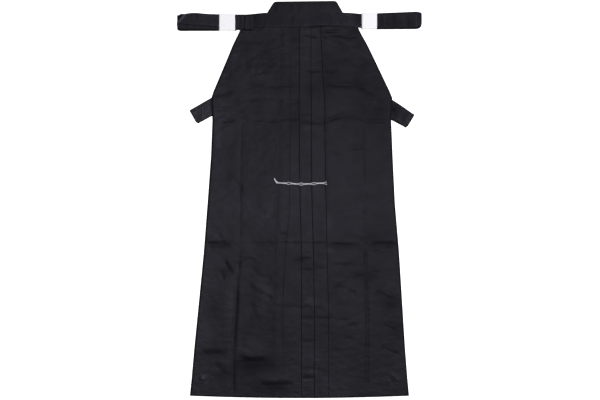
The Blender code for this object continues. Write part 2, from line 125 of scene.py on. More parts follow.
# Creases
CREASE_REACH = (5.0, 20.0)  # nothing of it is left this many widths aside, or this far past its ends
CREASE_SECTION = 1.25  # how round a crease is across: 1 is sharp, 2 is round
CREASE_FADE = (0.3, 24.0)  # it fades out over this share of its length, and no more than this
CREASE_PAST = 4.0  # how far past its ends it starts
CREASE_BEND = (0.35, 22.0)  # how far it winds, in widths, and how long its bends are
CREASE_UNEVEN = (0.55, 34.0)  # how much its depth changes, and over what length

Array = np.ndarray
Colour = tuple[float, float, float]
Path = tuple[tuple[float, float], ...]  # corners of a line, seen from above, in millimetres


class Side(Enum):
    """A side of the body, as the wearer has it."""

    RIGHT = "right"
    LEFT = "left"

    @property
    def sign(self) -> float:
        """Direction along X in which this side lies."""
        return -1.0 if self is Side.RIGHT else 1.0


class Held(Enum):
    """How a sheet of cloth is held."""

    LAID = "laid"
    FOLDED = "folded"


# Tables of the garment's outline, pleats and creases


class Edge(NamedTuple):
    """Side edges of the front at one height."""

    y: float
    right: float
    left: float


class Pleats(NamedTuple):
    """Visible fold edges at one height, from the right leg to the left."""

    y: float
    right_outer: float
    right_inner: float
    centre: float
    left_inner: float
    left_outer: float


class Waist(NamedTuple):
    """Waistband edges at one place across the front."""

    x: float
    seam: float
    top: float


class Crease(NamedTuple):
    """A soft trough (negative height) or ridge between two ends, with half its width."""

    x0: float
    y0: float
    x1: float
    y1: float
    width: float
    height: float


class Spring(NamedTuple):
    """How far each pressed fold stands off at one height, in millimetres."""

    y: float
    right_outer: float
    right_inner: float
    centre: float
    left_inner: float
    left_outer: float


class ShadePatch(NamedTuple):
    """A patch of painted shade (dark above 0) or painted light (dark below 0) on the cloth's colour."""

    x: float
    y: float
    half_x: float
    half_y: float
    dark: float


class Shine(NamedTuple):
    """A painted highlight along a pressed edge between two places, with half its width."""

    x0: float
    y0: float
    x1: float
    y1: float
    width: float
    strength: float

    def near(self, x: Array, y: Array) -> Array:
        """1 on the line, falling to 0 beside it."""
        return np.exp(-((off_line(x, y, (self.x0, self.y0), (self.x1, self.y1)) / self.width) ** 2))


class Swell(NamedTuple):
    """Gentle unevenness: its height, the size of its swells, the number that picks it, its stretch."""

    height: float
    size: float
    seed: float
    stretch: tuple[float, float] = (1.0, 1.0)

    def at(self, x: Array, y: Array) -> Array:
        """Its height at each place."""
        return self.height * wobble(x * self.stretch[0], y * self.stretch[1], self.size, self.seed)


class FoldedLayer(NamedTuple):
    """One layer of a folded strap: its ends, and its edges at the tip and at the inner end."""

    tip: float
    inner: float
    tip_low: float
    tip_high: float
    inner_low: float
    inner_high: float


class PaperSize(NamedTuple):
    """Where a paper band lies round a folded strap, measured outside."""

    low_x: float
    high_x: float
    low_y: float
    high_y: float


EDGES = (
    Edge(466, -155.7, 154.7),
    Edge(449, -162.5, 162.8),
    Edge(372, -194, 200.4),
    Edge(287, -229.8, 240.7),
    Edge(270, -235.3, 247.6),
    Edge(212, -232.4, 244.4),
    Edge(116, -236.2, 248.4),
    Edge(-12, -245.5, 254.6),
    Edge(-140, -255.4, 265.5),
    Edge(-268, -267.9, 273.5),
    Edge(-396, -280.7, 281.5),
    Edge(-530, -292.5, 292),
)
PLEATS = (
    Pleats(466, -50, -22.8, -1.5, 29.6, 56.4),
    Pleats(428, -51, -22.8, -1.5, 30, 57.2),
    Pleats(319, -53, -22.8, -1.5, 30, 62.6),
    Pleats(263, -54, -22.8, -2, 30.3, 66.5),
    Pleats(87, -54.8, -24.1, -1.5, 30.6, 67.9),
    Pleats(-39, -58.8, -26.8, 1.7, 33.2, 70.5),
    Pleats(-151, -65.5, -36, 3.9, 36.7, 73.2),
    Pleats(-210, -68.5, -41, 3.9, 37, 73.8),
    Pleats(-290, -71.5, -42.8, 4.4, 38.5, 76.7),
    Pleats(-530, -79, -42.8, 4.4, 38.5, 76.7),
)
WAIST = (
    Waist(-169, 454.6, 491.4),
    Waist(-127, 457.4, 494.3),
    Waist(-95, 458.8, 497.4),
    Waist(0, 460.6, 498.6),
    Waist(55, 463.8, 498.8),
    Waist(119, 462.6, 498),
    Waist(140, 460.2, 497),
    Waist(165, 456.4, 494.8),
)
SPRINGS = (
    Spring(466, 0.02, 0.4, 1.2, 0.4, 1),
    Spring(345, 0.05, 0.45, 1.4, 0.5, 1),
    Spring(300, 0.15, 0.7, 1.2, 1.1, 1.3),
    Spring(200, 0.3, 0.85, 1.5, 1.3, 1.3),
    Spring(60, 0.3, 0.85, 1.5, 1.3, 1.4),
    Spring(0, 0.45, 0.7, 1.4, 1.4, 1),
    Spring(-160, 0.4, 0.8, 1.3, 1.3, 0.9),
    Spring(-280, 0.25, 0.9, 1.2, 1.3, 0.8),
    Spring(-420, 0.08, 0.4, 1.1, 1.3, 0.5),
    Spring(-530, 0.05, 0.2, 1, 1.1, 0.4),
)
STORAGE_CREASES = (
    Crease(-232, 226, -200, 222, 4, -0.5),
    Crease(-215, 210, -172, 211, 3.5, -0.85),
    Crease(-160, 222, -138, 214, 3.5, -0.8),
    Crease(-144, 215, -60, 208.5, 3.5, -0.95),
    Crease(-56, 214.6, 0, 215.4, 3.5, -0.9),
    Crease(-3, 230.6, 32, 227, 3, -0.95),
    Crease(-2, 207.5, 48, 206, 3.5, -0.85),
    Crease(44, 205.5, 80, 209, 4.5, -1.15),
    Crease(72, 208, 116, 226.5, 4.5, -1.35),
    Crease(110, 227.5, 143, 225, 4, -1.00),
    Crease(140, 224.5, 182, 208, 3.5, -0.8),
    Crease(176, 209, 240, 207.5, 3.5, -1.00),
    Crease(-252, -120, -184, -120, 6, -1.4),
    Crease(-219, -93, -202, -114, 3.5, -0.7),
    Crease(-248, -80, -210, -80, 4, -0.45),
    Crease(-250, -108.5, -192, -109, 6, 0.75),
    Crease(-142, -118, -58, -118, 3.5, -0.8),
    Crease(-56, -96.5, -30, -96.5, 5, -0.8),
    Crease(-60, -117, 78, -117.5, 3, -0.65),
    Crease(76, -121.5, 158, -122.5, 5, -1.00),
    Crease(136, -100.5, 170, -107, 3.5, -0.75),
    Crease(166, -106, 182, -118, 3.5, -0.7),
    Crease(184, -121, 266, -120.5, 6.5, -1.2),
    Crease(90, -112, 150, -113, 5, 0.4),
    Crease(188, -109, 264, -108.5, 6, 0.4),
)
PRESS_CREASES = (
    Crease(-156, 210, -160, -120, 5, -0.34),
    Crease(-160, -130, -163, -215, 4.5, -0.6),
    Crease(-165.5, -195, -170.5, -300, 4.2, -0.95),
    Crease(-170, -285, -177.5, -398, 4.4, -1.1),
    Crease(-177, -385, -177.5, -524, 4.4, -1.00),
    Crease(-156, -215, -166, -400, 6, 0.35),
    Crease(173.5, 204, 175.5, 36, 2.4, -0.45),
    Crease(175.5, 30, 177, -110, 4, -0.4),
    Crease(176, -130, 180.5, -330, 3.6, -0.85),
    Crease(180.5, -310, 180.5, -505, 3.6, -0.65),
)
HIP_CREASES = (
    # right leg
    Crease(-119, 368, -54, 357, 5, -0.5),
    Crease(-60, 357, -5, 358.5, 5, -0.55),
    Crease(-142, 316, -94, 302, 4.5, -0.7),
    Crease(-98, 302, -3, 306.5, 5, -0.95),
    Crease(-120, 333, -70, 330, 9, 0.55),
    Crease(-232, 279.5, -180, 287, 7, -0.8),
    Crease(-202, 325, -185, 328.5, 5, -0.55),
    Crease(-157, 262, -84, 275, 4, -0.55),
    Crease(-88, 275, -38, 261, 4.5, -0.75),
    Crease(-42, 260, -2, 257, 4, -0.75),
    Crease(-120, 246, -60, 240, 10, 0.35),
    Crease(-118, 405, -70, 396, 7, -0.3),
    Crease(-150, 380, -128, 300, 8, -0.35),
    # left leg
    Crease(13, 343.6, 62, 341.7, 3, -0.85),
    Crease(62, 341.7, 112, 344, 3, -0.9),
    Crease(70, 308, 150, 304, 4.5, -1.25),
    Crease(146, 304, 177, 299.5, 4.5, -0.85),
    Crease(36, 306, 66, 307, 4.5, -0.45),
    Crease(160, 305, 198, 280, 7, -0.75),
    Crease(84, 372, 142, 381, 9, -0.85),
    Crease(110, 326, 156, 327, 9, 0.5),
    Crease(80, 400, 120, 404, 12, 0.45),
    Crease(74, 291, 100, 279, 4, -0.55),
    Crease(112, 271, 136, 281, 4, -0.6),
    Crease(164, 254, 184, 246, 5, -0.65),
    Crease(186, 246, 196, 266, 4, 0.5),
    Crease(198, 246, 216, 243, 6, -0.6),
    Crease(82.5, 126.8, 124, 127, 3.5, -0.8),
    Crease(122, 127.5, 148, 143.5, 3.5, -0.9),
    Crease(146, 142, 153, 134, 3, -0.7),
    Crease(151, 134, 170, 146, 3.5, -0.9),
    Crease(126, 96, 158, 98, 3.5, -0.4),
    Crease(120, 66, 170, 56, 4.5, -0.45),
    Crease(156, 7, 184, 4.5, 3.5, -0.8),
    Crease(182, 12, 206, 4, 4.5, 0.55),
    # tucks under the waistband
    Crease(6, 439.6, 48, 434, 3, -0.8),
    Crease(68, 447.5, 113, 448.5, 3, -1.4),
    Crease(66, 433, 86, 438.5, 3, -0.6),
    Crease(84, 438.5, 114, 438, 3, -0.95),
    Crease(112, 438, 126, 432.5, 3, -0.75),
    Crease(122, 432.5, 155, 434.5, 3, -0.95),
    Crease(106, 420.5, 118, 418, 4, -0.6),
    Crease(122, 415, 136, 411, 4.5, -0.5),
    Crease(10, 452, 60, 455.5, 3.5, 0.45),
    Crease(70, 454.5, 140, 450.5, 3.5, 0.45),
    Crease(-140, 446, -124, 425, 4, -0.4),
)
SEAM_CREASES = (
    Crease(20, 456.6, 132, 455.4, 2.4, 0.45),
    Crease(30, 450.5, 128, 449, 3.5, -0.3),
)
LOW_RIGHT_CREASES = (
    Crease(-229.5, 74, -170, 54, 4.5, -0.6),
    Crease(-176, 56, -152, 23, 4.5, -0.85),
    Crease(-114, 69, -91, 74, 4, -0.7),
    Crease(-203, -165, -179, -200, 4.2, -0.95),
    Crease(-194, -158, -170, -192, 4.5, 0.6),
    Crease(-211, -189, -202, -214, 3.5, -0.8),
    Crease(-180, -192, -156, -161, 4, -0.75),
    Crease(-158, -160, -117, -160, 4, -0.7),
    Crease(-131, -177, -107, -206, 4.5, -0.8),
    Crease(-108, -206, -72, -213, 4, -0.7),
    Crease(-131, -223, -84, -252, 6, 0.6),
    Crease(-143, -226, -106, -256, 5.5, -0.35),
    Crease(-108, -244, -69, -270, 5, -0.58),
    Crease(-133.5, -269, -107, -335, 5, -0.75),
    Crease(-67, -286, 6, -287, 4, -0.45),
    Crease(-240, -250, -222, -335, 13, -0.6),
    Crease(-269, -414, -190, -411, 8.5, -0.7),
    Crease(-264, -399, -198, -397, 11, 0.4),
    Crease(-229, -436, -190, -473, 6, -1.00),
    Crease(-266, -477, -252, -478, 7, 0.5),
    Crease(-160, -433, -84, -431.5, 5.5, -1.4),
    Crease(-160, -418, -88, -416, 9, 1.05),
    Crease(-154, -386, -96, -382, 12, 0.45),
    Crease(-106, -493, -76, -497, 4.4, -1.25),
    Crease(-82, -497, -48, -493, 5, -0.8),
    Crease(-52, -493, -15, -495, 4.6, -0.85),
    Crease(-102, -482, -18, -480, 9, 0.5),
    Crease(-52, -300, -44, -420, 6, -0.35),
)
LOW_LEFT_CREASES = (
    # between the pleats
    Crease(3.5, -160.5, 33, -160, 3.5, -0.95),
    Crease(4, -189, 38, -189.5, 4, -1.15),
    Crease(38, -184, 66, -186, 4, -0.6),
    Crease(-10, -290, 36, -290, 4.5, -0.7),
    Crease(4, -319.5, 38, -318.5, 3.5, -1.05),
    Crease(38, -318.5, 96, -319, 3, -0.6),
    Crease(44, -290, 68, -296, 4.5, -0.5),
    Crease(4, -379, 38, -380, 4.5, -0.8),
    Crease(4, -452, 52, -452, 5.5, -0.6),
    Crease(4, -477, 38, -477.5, 3.5, -1.00),
    # side panel
    Crease(82, -177.5, 152, -175, 4.5, -0.7),
    Crease(146, -210, 176, -203, 5, -1.15),
    Crease(90, -234, 128, -239, 4.5, -0.95),
    Crease(92, -218, 120, -220, 5, 0.45),
    Crease(130, -243, 150, -254, 4.5, -1.1),
    Crease(94, -281, 152, -287, 5, -0.5),
    Crease(99, -321, 130, -325, 4.5, -1.00),
    Crease(133, -335, 153, -338, 4.5, -0.85),
    Crease(119, -370, 141, -374, 4.5, -0.85),
    Crease(84, -402, 116, -404, 5, -0.4),
    Crease(99, -508, 118, -508.5, 4, -0.5),
    Crease(180, -137, 222, -142.5, 4.5, -0.9),
    Crease(191, -192, 216, -196, 4.5, -0.75),
    Crease(208, -245, 226, -259, 4, -1.1),
    Crease(222, -258, 258, -270.5, 5, -1.05),
    Crease(220, -335, 258, -349, 4.5, -1.00),
    Crease(220, -395, 238, -402.5, 4, -0.5),
    Crease(234, -402, 266, -414, 4.5, -0.7),
    Crease(231, -468, 256, -497, 5, -0.45),
    Crease(244, -462, 266, -486, 5, 0.6),
)
CREASES = (
    STORAGE_CREASES + PRESS_CREASES + SEAM_CREASES + HIP_CREASES + LOW_RIGHT_CREASES + LOW_LEFT_CREASES
)
SWELLS = (Swell(0.20, 70.0, 3.1), Swell(0.14, 24.0, 8.7, (1.0, 0.6)))
WAIST_SWELL = Swell(0.34, 22.0, 14.2, (0.4, 1.0))
WAIST_SWELL_Y = (150.0, 260.0)  # over which it comes up towards the waist
# Painted shade and painted light on the front's colour: dark patches stand for shade in creases and tucks and
# beside folds, light ones for light, and the broad ones for how the light falls across the legs.
PAINTED_SHADES = (
    # small patches
    ShadePatch(-185, -268, 12, 52, -0.5),
    ShadePatch(221, 161, 22, 24, 0.3),
    ShadePatch(76, -68, 10, 34, -0.4),
    ShadePatch(90, 409, 28, 10, -0.4),
    ShadePatch(-235, -294, 14, 28, 0.4),
    ShadePatch(-104, -298, 14, 20, -0.4),
    ShadePatch(195, 253, 14, 14, -0.4),
    ShadePatch(-172, 385, 10, 24, -0.6),
    ShadePatch(171, 355, 16, 18, 0.4),
    ShadePatch(18, 190, 18, 8, -0.4),
    ShadePatch(251, -479, 12, 9, -0.7),
    ShadePatch(27, -415, 34, 22, -0.45),
    ShadePatch(-11, 209, 32, 40, 0.4),
    ShadePatch(-98, -228, 22, 14, -0.15),
    ShadePatch(146, 446, 22, 14, 0.5),
    ShadePatch(204, -97, 36, 16, 0.4),
    ShadePatch(-210, 251, 28, 22, -0.5),
    ShadePatch(-86, -36, 20, 30, -0.4),
    ShadePatch(247, -277, 24, 20, 0.6),
    ShadePatch(155, 311, 34, 14, 0.4),
    ShadePatch(179, -203, 40, 16, 0.45),
    ShadePatch(256, -347, 20, 32, 0.4),
    ShadePatch(31, -273, 18, 16, -0.5),
    ShadePatch(-106, 332, 20, 14, -0.5),
    ShadePatch(-193, 52, 22, 20, 0.25),
    ShadePatch(-217, 153, 10, 26, -0.5),
    ShadePatch(-204, -466, 20, 14, 0.6),
    ShadePatch(-191, -422, 22, 22, -0.4),
    ShadePatch(-123, -441, 50, 22, 1.05),
    ShadePatch(-110, -500, 66, 30, 0.2),
    ShadePatch(-62, -500, 42, 14, 0.85),
    ShadePatch(-228, -412, 42, 14, 0.5),
    ShadePatch(-134, -396, 34, 14, -0.55),
    ShadePatch(-259, -480, 14, 11, -0.7),
    # broad ones
    ShadePatch(-95, 360, 60, 60, 0.15),
    ShadePatch(110, 372, 60, 50, 0.3),
    ShadePatch(50, 306, 100, 40, 0.36),
    ShadePatch(190, 226, 60, 50, 0.3),
    ShadePatch(20, 30, 80, 80, -0.14),
    ShadePatch(-110, -40, 110, 110, -0.16),
    ShadePatch(-236, -20, 60, 120, -0.2),
    ShadePatch(-226, 215, 50, 40, -0.45),
    ShadePatch(-290, -280, 70, 230, -0.5),
    ShadePatch(0, -500, 340, 60, -0.26),
    ShadePatch(190, 280, 50, 50, 0.3),
    # painted shade along the creases that run across the legs
    ShadePatch(100, 216, 34, 8, 0.3),
    ShadePatch(-130, 232, 90, 12, 0.15),
    ShadePatch(120, -126, 44, 10, 0.3),
    ShadePatch(226, -122, 40, 10, 0.35),
    ShadePatch(-218, -121, 32, 9, 0.35),
    # more broad ones
    ShadePatch(200, -160, 60, 26, 0.12),
    ShadePatch(-200, 60, 36, 70, -0.12),
    ShadePatch(190, -470, 60, 50, 0.15),
    # more small ones
    ShadePatch(-123, -313, 9, 20, 0.45),
    ShadePatch(-86, -249, 18, 16, -0.45),
    ShadePatch(2, -160, 14, 9, 0.5),
    ShadePatch(79, -136, 12, 12, -0.4),
    ShadePatch(-26, -117, 16, 10, -0.4),
    ShadePatch(-192, -190, 10, 18, 0.45),
    ShadePatch(29, 290, 14, 18, 0.3),
    ShadePatch(158, 412, 14, 12, 0.4),
    ShadePatch(-11, 432, 17, 26, 0.35),
)
# uneven tone, added to the painted shade
TONE_SWELLS = (Swell(0.16, 48.0, 61.0), Swell(0.12, 14.0, 63.0, (0.5, 1.0)))
BACK_CREASES = (
    Crease(-215, 212, 220, 211, 5, 0.45),
    Crease(-250, -117, 262, -116, 5, 0.5),
    Crease(-160, 200, -172, -520, 4, 0.35),
    Crease(176, 190, 182, -520, 4, 0.3),
    Crease(-230, -330, -120, -352, 8, 0.4),
    Crease(90, -410, 210, -392, 8, 0.4),
    Crease(60, 60, 140, 40, 7, 0.3),
    Crease(-190, 90, -90, 110, 7, 0.3),
)
REAR_STRAPS = {
    Side.RIGHT: ((123.5, 448.4), (-282.5, 219.6)),
    Side.LEFT: ((-97.8, 448.7), (295.2, 208.3)),
}
REAR_STRAP_APART = {Side.RIGHT: 0.5, Side.LEFT: 2.8}
# painted shade and painted light on the rear straps: a painted shadow where the front's edge lies over the
# left tab, the right strap painted lighter
REAR_STRAP_SHADES = {
    Side.RIGHT: (ShadePatch(-260, 230, 40, 40, -0.9),),
    Side.LEFT: (
        ShadePatch(255, 238, 13, 18, 0.6),
        ShadePatch(280, 222, 9, 12, 0.35),
        ShadePatch(292, 210, 7, 12, -0.5),
        ShadePatch(250, 240, 9, 22, 0.4),
    ),
}
ROOT_RIGHT = BAND_ENDS[0] - GAP
ROOT_LEFT = BAND_ENDS[1] + GAP
FOLDED_STRAPS = {
    Side.RIGHT: (
        FoldedLayer(-322, ROOT_RIGHT, 450.5, 490, 449.5, 491.5),
        FoldedLayer(-325, ROOT_RIGHT, 449.5, 490, 449, 491),
        FoldedLayer(-321, ROOT_RIGHT, 448.5, 489, 449, 491.5),
        FoldedLayer(-326, ROOT_RIGHT, 450, 491, 449.5, 492),
        FoldedLayer(-322, -121.5, 451.5, 492.5, 450.5, 492.5),
        FoldedLayer(-326.6, -124, 453, 494, 451, 492),
        FoldedLayer(-320, -121.5, 466.5, 494.5, 450, 491.5),
    ),
    Side.LEFT: (
        FoldedLayer(322, ROOT_LEFT, 454.5, 495, 452.7, 492.5),
        FoldedLayer(325, ROOT_LEFT, 454, 496, 452.7, 493.5),
        FoldedLayer(321, ROOT_LEFT, 453.6, 495.5, 452.7, 493.5),
        FoldedLayer(326.6, ROOT_LEFT, 454.5, 497, 453.1, 494),
        FoldedLayer(323, ROOT_LEFT, 455, 498.5, 453.5, 494.1),
        FoldedLayer(326.9, ROOT_LEFT, 455.5, 499.5, 453.5, 494.1),
        FoldedLayer(322, ROOT_LEFT, 456, 500.2, 453.5, 493.9),
    ),
}
RIGHT_STRAP_RIDGES = (
    Crease(-284, 460, -284, 500, 4, 0.3),
    Crease(-268, 460, -268, 500, 4, 0.4),
    Crease(-255, 460, -256, 500, 4, 0.3),
    Crease(-244, 460, -244, 500, 3.5, -0.3),
    Crease(-233, 460, -234, 500, 4, 0.4),
    Crease(-163, 440, -158, 506, 2.4, -0.4),
    Crease(-157, 440, -152, 506, 2.6, 0.5),
    Crease(-151, 440, -147, 506, 2.4, -0.4),
    Crease(-146, 440, -140, 506, 2.6, 0.5),
    Crease(-137, 440, -136, 506, 2.6, 0.3),
    Crease(-129, 440, -129, 506, 2.8, 0.5),
)
LEFT_STRAP_RIDGES = (
    Crease(219.5, 455, 219.5, 495, 3.5, -0.35),
    Crease(227, 450, 228, 502, 4, 0.35),
    Crease(244, 450, 243, 502, 5, 0.3),
    Crease(255, 450, 254, 502, 4.5, -0.3),
    Crease(280, 450, 282, 502, 5, 0.45),
    Crease(290, 450, 290, 502, 4, -0.35),
    Crease(312, 456, 311, 502, 4, 0.45),
)
# painted light and shade on the folded straps: the right bundle's top painted lighter, the left one's striped
# darker and lighter along its ridges
RIGHT_STRAP_SHADES = (ShadePatch(-250, 475, 80, 40, -0.3),)
# a painted highlight on the slanted fold at the tip of the right bundle's top layer
RIGHT_STRAP_SHINES = (Shine(-305, 493, -321, 473, 2.4, 60),)
LEFT_STRAP_SHADES = (
    ShadePatch(262, 478, 90, 60, 0.15),
    ShadePatch(219.5, 476, 3.2, 15, 0.6),
    ShadePatch(227, 478, 3.6, 30, -0.3),
    ShadePatch(234.5, 472, 4, 18, 0.25),
    ShadePatch(254.5, 476, 6, 22, 0.4),
    ShadePatch(281, 478, 5, 30, -0.45),
    ShadePatch(290.5, 470, 4, 20, 0.5),
    ShadePatch(313, 474, 4, 24, -0.9),
)
PAPER_SIZES = {
    Side.RIGHT: PaperSize(-213.8, -171.6, 448.6, 495),
    Side.LEFT: PaperSize(166, 206, 452.5, 498.4),
}


def column(table: Sequence[NamedTuple], key: str, name: str, at: Array | float) -> Array:
    """Read a column of a table at values of its key column, straight between rows.

    Args:
        table: rows with named columns.
        key: name of the key column.
        name: name of the column to read.
        at: where to read it.

    Returns:
        The column's values there.
    """
    rows = sorted(table, key=lambda row: getattr(row, key))
    return np.interp(at, [getattr(r, key) for r in rows], [getattr(r, name) for r in rows])


def smooth(low: float, high: float, value: Array | float) -> Array:
    """Rise from 0 at low to 1 at high, level at both ends."""
    share = np.clip((np.asarray(value, float) - low) / (high - low), 0.0, 1.0)
    return share * share * (3 - 2 * share)


def mix(a: Array | float, b: Array | float, share: Array | float) -> Array | float:
    """The value a share of the way from a to b."""
    return a + (b - a) * share


def wobble(x: Array, y: Array, scale: float, seed: float) -> Array:
    """Smooth unevenness of about -1 to 1, the same each run.

    Args:
        x: places in millimetres.
        y: places in millimetres.
        scale: size of its swells, in millimetres.
        seed: a number that picks one pattern.

    Returns:
        One value for each place.
    """
    flat = np.broadcast_arrays(np.asarray(x, float), np.asarray(y, float))
    places = zip(flat[0].ravel() / scale, flat[1].ravel() / scale)
    values = [noise.noise((a, b, seed)) for a, b in places]
    return np.array(values).reshape(flat[0].shape)


# What lies under what


def beside(outside: Array) -> Array:
    """How much of a layer is left beyond its edge: all of it near by, then falling to none."""
    return 1 - smooth(EDGE_MARGIN, EDGE_MARGIN + EDGE_FALL, outside)


def off_line(x: Array, y: Array, start: Sequence[float], end: Sequence[float]) -> Array:
    """Distance of places from a straight line between two points.

    Args:
        x: places in millimetres.
        y: places in millimetres.
        start: the line's start.
        end: the line's end.

    Returns:
        One distance for each place.
    """
    run, rise = end[0] - start[0], end[1] - start[1]
    share = np.clip(((x - start[0]) * run + (y - start[1]) * rise) / (run**2 + rise**2), 0.0, 1.0)
    return np.hypot(x - start[0] - share * run, y - start[1] - share * rise)


def over_strap(x: Array, y: Array, side: Side) -> Array:
    """Height that a rear strap adds: two runs of cloth, falling off beyond its edges."""
    edge = REAR_WIDTH / 2 + STRAP_MARGIN
    return 2 * LAYER * (1 - smooth(edge, edge + STRAP_FALL, off_line(x, y, *REAR_STRAPS[side])))


def back_centre(y: Array) -> Array:
    """Where the two back panels meet."""
    return mix(*BACK_CENTRE, np.asarray(y) / TOP_Y)


def back_side(y: Array, side: Side) -> Array:
    """Side edge of a back panel: from the board's corner to the slit, then down the side seam.

    Args:
        y: heights on the garment.
        side: the leg.

    Returns:
        X of the edge at each height.
    """
    edge = column(EDGES, "y", side.value, np.minimum(y, SLIT_Y)) - side.sign * BACK_INSET
    corner = BOARD_BOTTOM[0] if side is Side.RIGHT else BOARD_BOTTOM[1]
    return mix(edge, corner, np.clip((np.asarray(y) - SLIT_Y) / (TOP_Y - SLIT_Y), 0.0, 1.0))


def back_height(x: Array, y: Array) -> Array:
    """Top of the back panels: one layer, two near the centre, none outside them.

    Args:
        x: places in millimetres.
        y: places in millimetres.

    Returns:
        Height at each place.
    """
    edge = np.where(x > 0, back_side(y, Side.LEFT), -back_side(y, Side.RIGHT))
    first = beside(np.abs(x) - edge)
    second = beside(np.abs(x - back_centre(y)) - BACK_UNDERLAY)
    return LAYER * (first + second)


def machi_height(x: Array, y: Array) -> Array:
    """Height that the gusset adds."""
    across = beside(np.abs(x - back_centre(y)) - MACHI_HALF[1])
    return LAYER * across * beside((MACHI_Y[1] - y) / 2) * beside((y - MACHI_Y[0]) / 2)


def front_floor(x: Array, y: Array) -> Array:
    """Height of everything under the front panels."""
    low = np.maximum(back_height(x, y), LAYER)
    return low + sum(over_strap(x, y, side) for side in Side) + machi_height(x, y)


def pleat_fall(x: Array, y: Array) -> Array:
    """Height that lets each strip between the pleats' folds lie level, one step lower at every fold.

    Args:
        x: places in millimetres.
        y: places in millimetres.

    Returns:
        Height at each place.
    """
    step = 2 * PLEAT_LAYER
    folds = [column(PLEATS, "y", name, y) for name in Pleats._fields[1:]]
    places = [folds[0] - SIDE_RISE, *folds, folds[-1] + SIDE_RISE]
    heights = (0.0, 1.0, 0.0, 0.0, 1.0, 2.0, 0.0)  # at these places, in steps
    total = 0 * (x + y)
    for low, high, before, after in zip(places, places[1:], heights, heights[1:]):
        total = total + (after - before) * np.clip((x - low) / (high - low), 0.0, 1.0)
    return step * total


def direction(start: Sequence[float], end: Sequence[float]) -> tuple[float, float, float]:
    """Length of a straight line, and how far it runs along X and Y for each millimetre.

    Args:
        start: its first point.
        end: its last point.

    Returns:
        The length and the two shares.
    """
    length = math.hypot(end[0] - start[0], end[1] - start[1])
    return length, (end[0] - start[0]) / length, (end[1] - start[1]) / length


def crease_height(creases: Sequence[Crease], x: Array, y: Array, seed: float) -> Array:
    """Height of all creases together, each a little uneven along its length.

    Args:
        creases: the creases.
        x: places in millimetres.
        y: places in millimetres.
        seed: a number that picks the unevenness.

    Returns:
        Height at each place.
    """
    total = np.zeros(np.broadcast(x, y).shape)
    for i, crease in enumerate(creases):
        length, run, rise = direction((crease.x0, crease.y0), (crease.x1, crease.y1))
        along = (x - crease.x0) * run + (y - crease.y0) * rise
        across = (y - crease.y0) * run - (x - crease.x0) * rise
        near = (np.abs(across) < CREASE_REACH[0] * crease.width) & (along > -CREASE_REACH[1])
        near &= along < length + CREASE_REACH[1]
        if not near.any():
            continue
        s, a = along[near], across[near]
        fade = min(CREASE_FADE[0] * length, CREASE_FADE[1])
        ends = smooth(-CREASE_PAST, fade, s) * (1 - smooth(length - fade, length + CREASE_PAST, s))
        bend = CREASE_BEND[0] * crease.width * wobble(s, 0 * s, CREASE_BEND[1], seed + i)
        strength = 1 + CREASE_UNEVEN[0] * wobble(s, 0 * s, CREASE_UNEVEN[1], seed + i + 0.5)
        section = np.exp(-((np.abs(a - bend) / crease.width) ** CREASE_SECTION))
        total[near] += crease.height * ends * strength * section
    return total


def front_relief(x: Array, y: Array) -> Array:
    """Creases of the front with the gentle swells of cloth laid by hand, never under its support.

    Args:
        x: places in millimetres.
        y: places in millimetres.

    Returns:
        Height at each place.
    """
    swell = sum(one.at(x, y) for one in SWELLS) + smooth(*WAIST_SWELL_Y, y) * WAIST_SWELL.at(x, y)
    relief = DEPTH * crease_height(CREASES, x, y, 11.0) + swell
    deepest = LOFT - 0.1
    return np.where(relief < 0, deepest * np.tanh(relief / deepest), relief)


def painted_shade(shades: Sequence[ShadePatch], x: Array, y: Array) -> Array:
    """How dark the patches of painted shade and painted light make the cloth at each place."""
    return sum(n.dark * np.exp(-(((x - n.x) / n.half_x) ** 2) - ((y - n.y) / n.half_y) ** 2) for n in shades)


def shade_and_tone_of(x: Array, y: Array) -> Array:
    """How dark the painted shade and painted light, with uneven tone, make the front at each place, from
    about -0.3 to 1.
    """
    return painted_shade(PAINTED_SHADES, x, y) + sum(one.at(x, y) for one in TONE_SWELLS)


def hem_y(x: Array) -> Array:
    """The hem, bowed down in the middle."""
    return HEM_Y + HEM_BOW * (x / HEM_HALF) ** 2


def band_bottom(x: Array) -> Array:
    """Underside of the waistband: on the board, and falling towards its ends."""
    outside = np.maximum(BOARD_BOTTOM[0] - x, x - BOARD_BOTTOM[1]) - BOARD_MARGIN
    return mix(BOARD_THICKNESS + GAP, BAND_END_Z, smooth(0.0, BAND_FALL, outside))


def waist_rise(x: Array) -> Array:
    """How much higher the cloth lies at the waistband: less beside the right strap's bundle."""
    return WAIST_RISE * mix(BUNDLE_RISE, 1.0, smooth(*BUNDLE_X, x))


def band_over_seam(x: Array) -> Array:
    """Upper face of the waistband at its seam: over the pleats that end in it.

    Args:
        x: places across the garment.

    Returns:
        Height at each place.
    """
    top = np.full_like(x, TOP_Y)
    right = column(PLEATS, "y", "right_outer", TOP_Y)
    left = column(PLEATS, "y", "left_outer", TOP_Y)
    level = 2 * (1 - smooth(*BAND_RAMP, np.maximum(right - x, x - left)))
    stand = mix(*BAND_STAND, smooth(*BAND_STAND_X, x))
    over = front_floor(x, top) + LOFT + waist_rise(x) + pleat_fall(x, top)
    over = over + level * PLEAT_LAYER + WALL + stand
    return np.maximum(over, band_bottom(x) + BAND_WALL)


def band_at_edge(x: Array) -> Array:
    """Upper face of the waistband at its upper edge: thin over the board, full beyond it."""
    outside = np.maximum(BOARD_BOTTOM[0] - x, x - BOARD_BOTTOM[1]) + BAND_THICKENS
    return band_bottom(x) + mix(BAND_EDGE, BAND_WALL, smooth(0.0, BAND_THICKENS, outside))


# Finishes


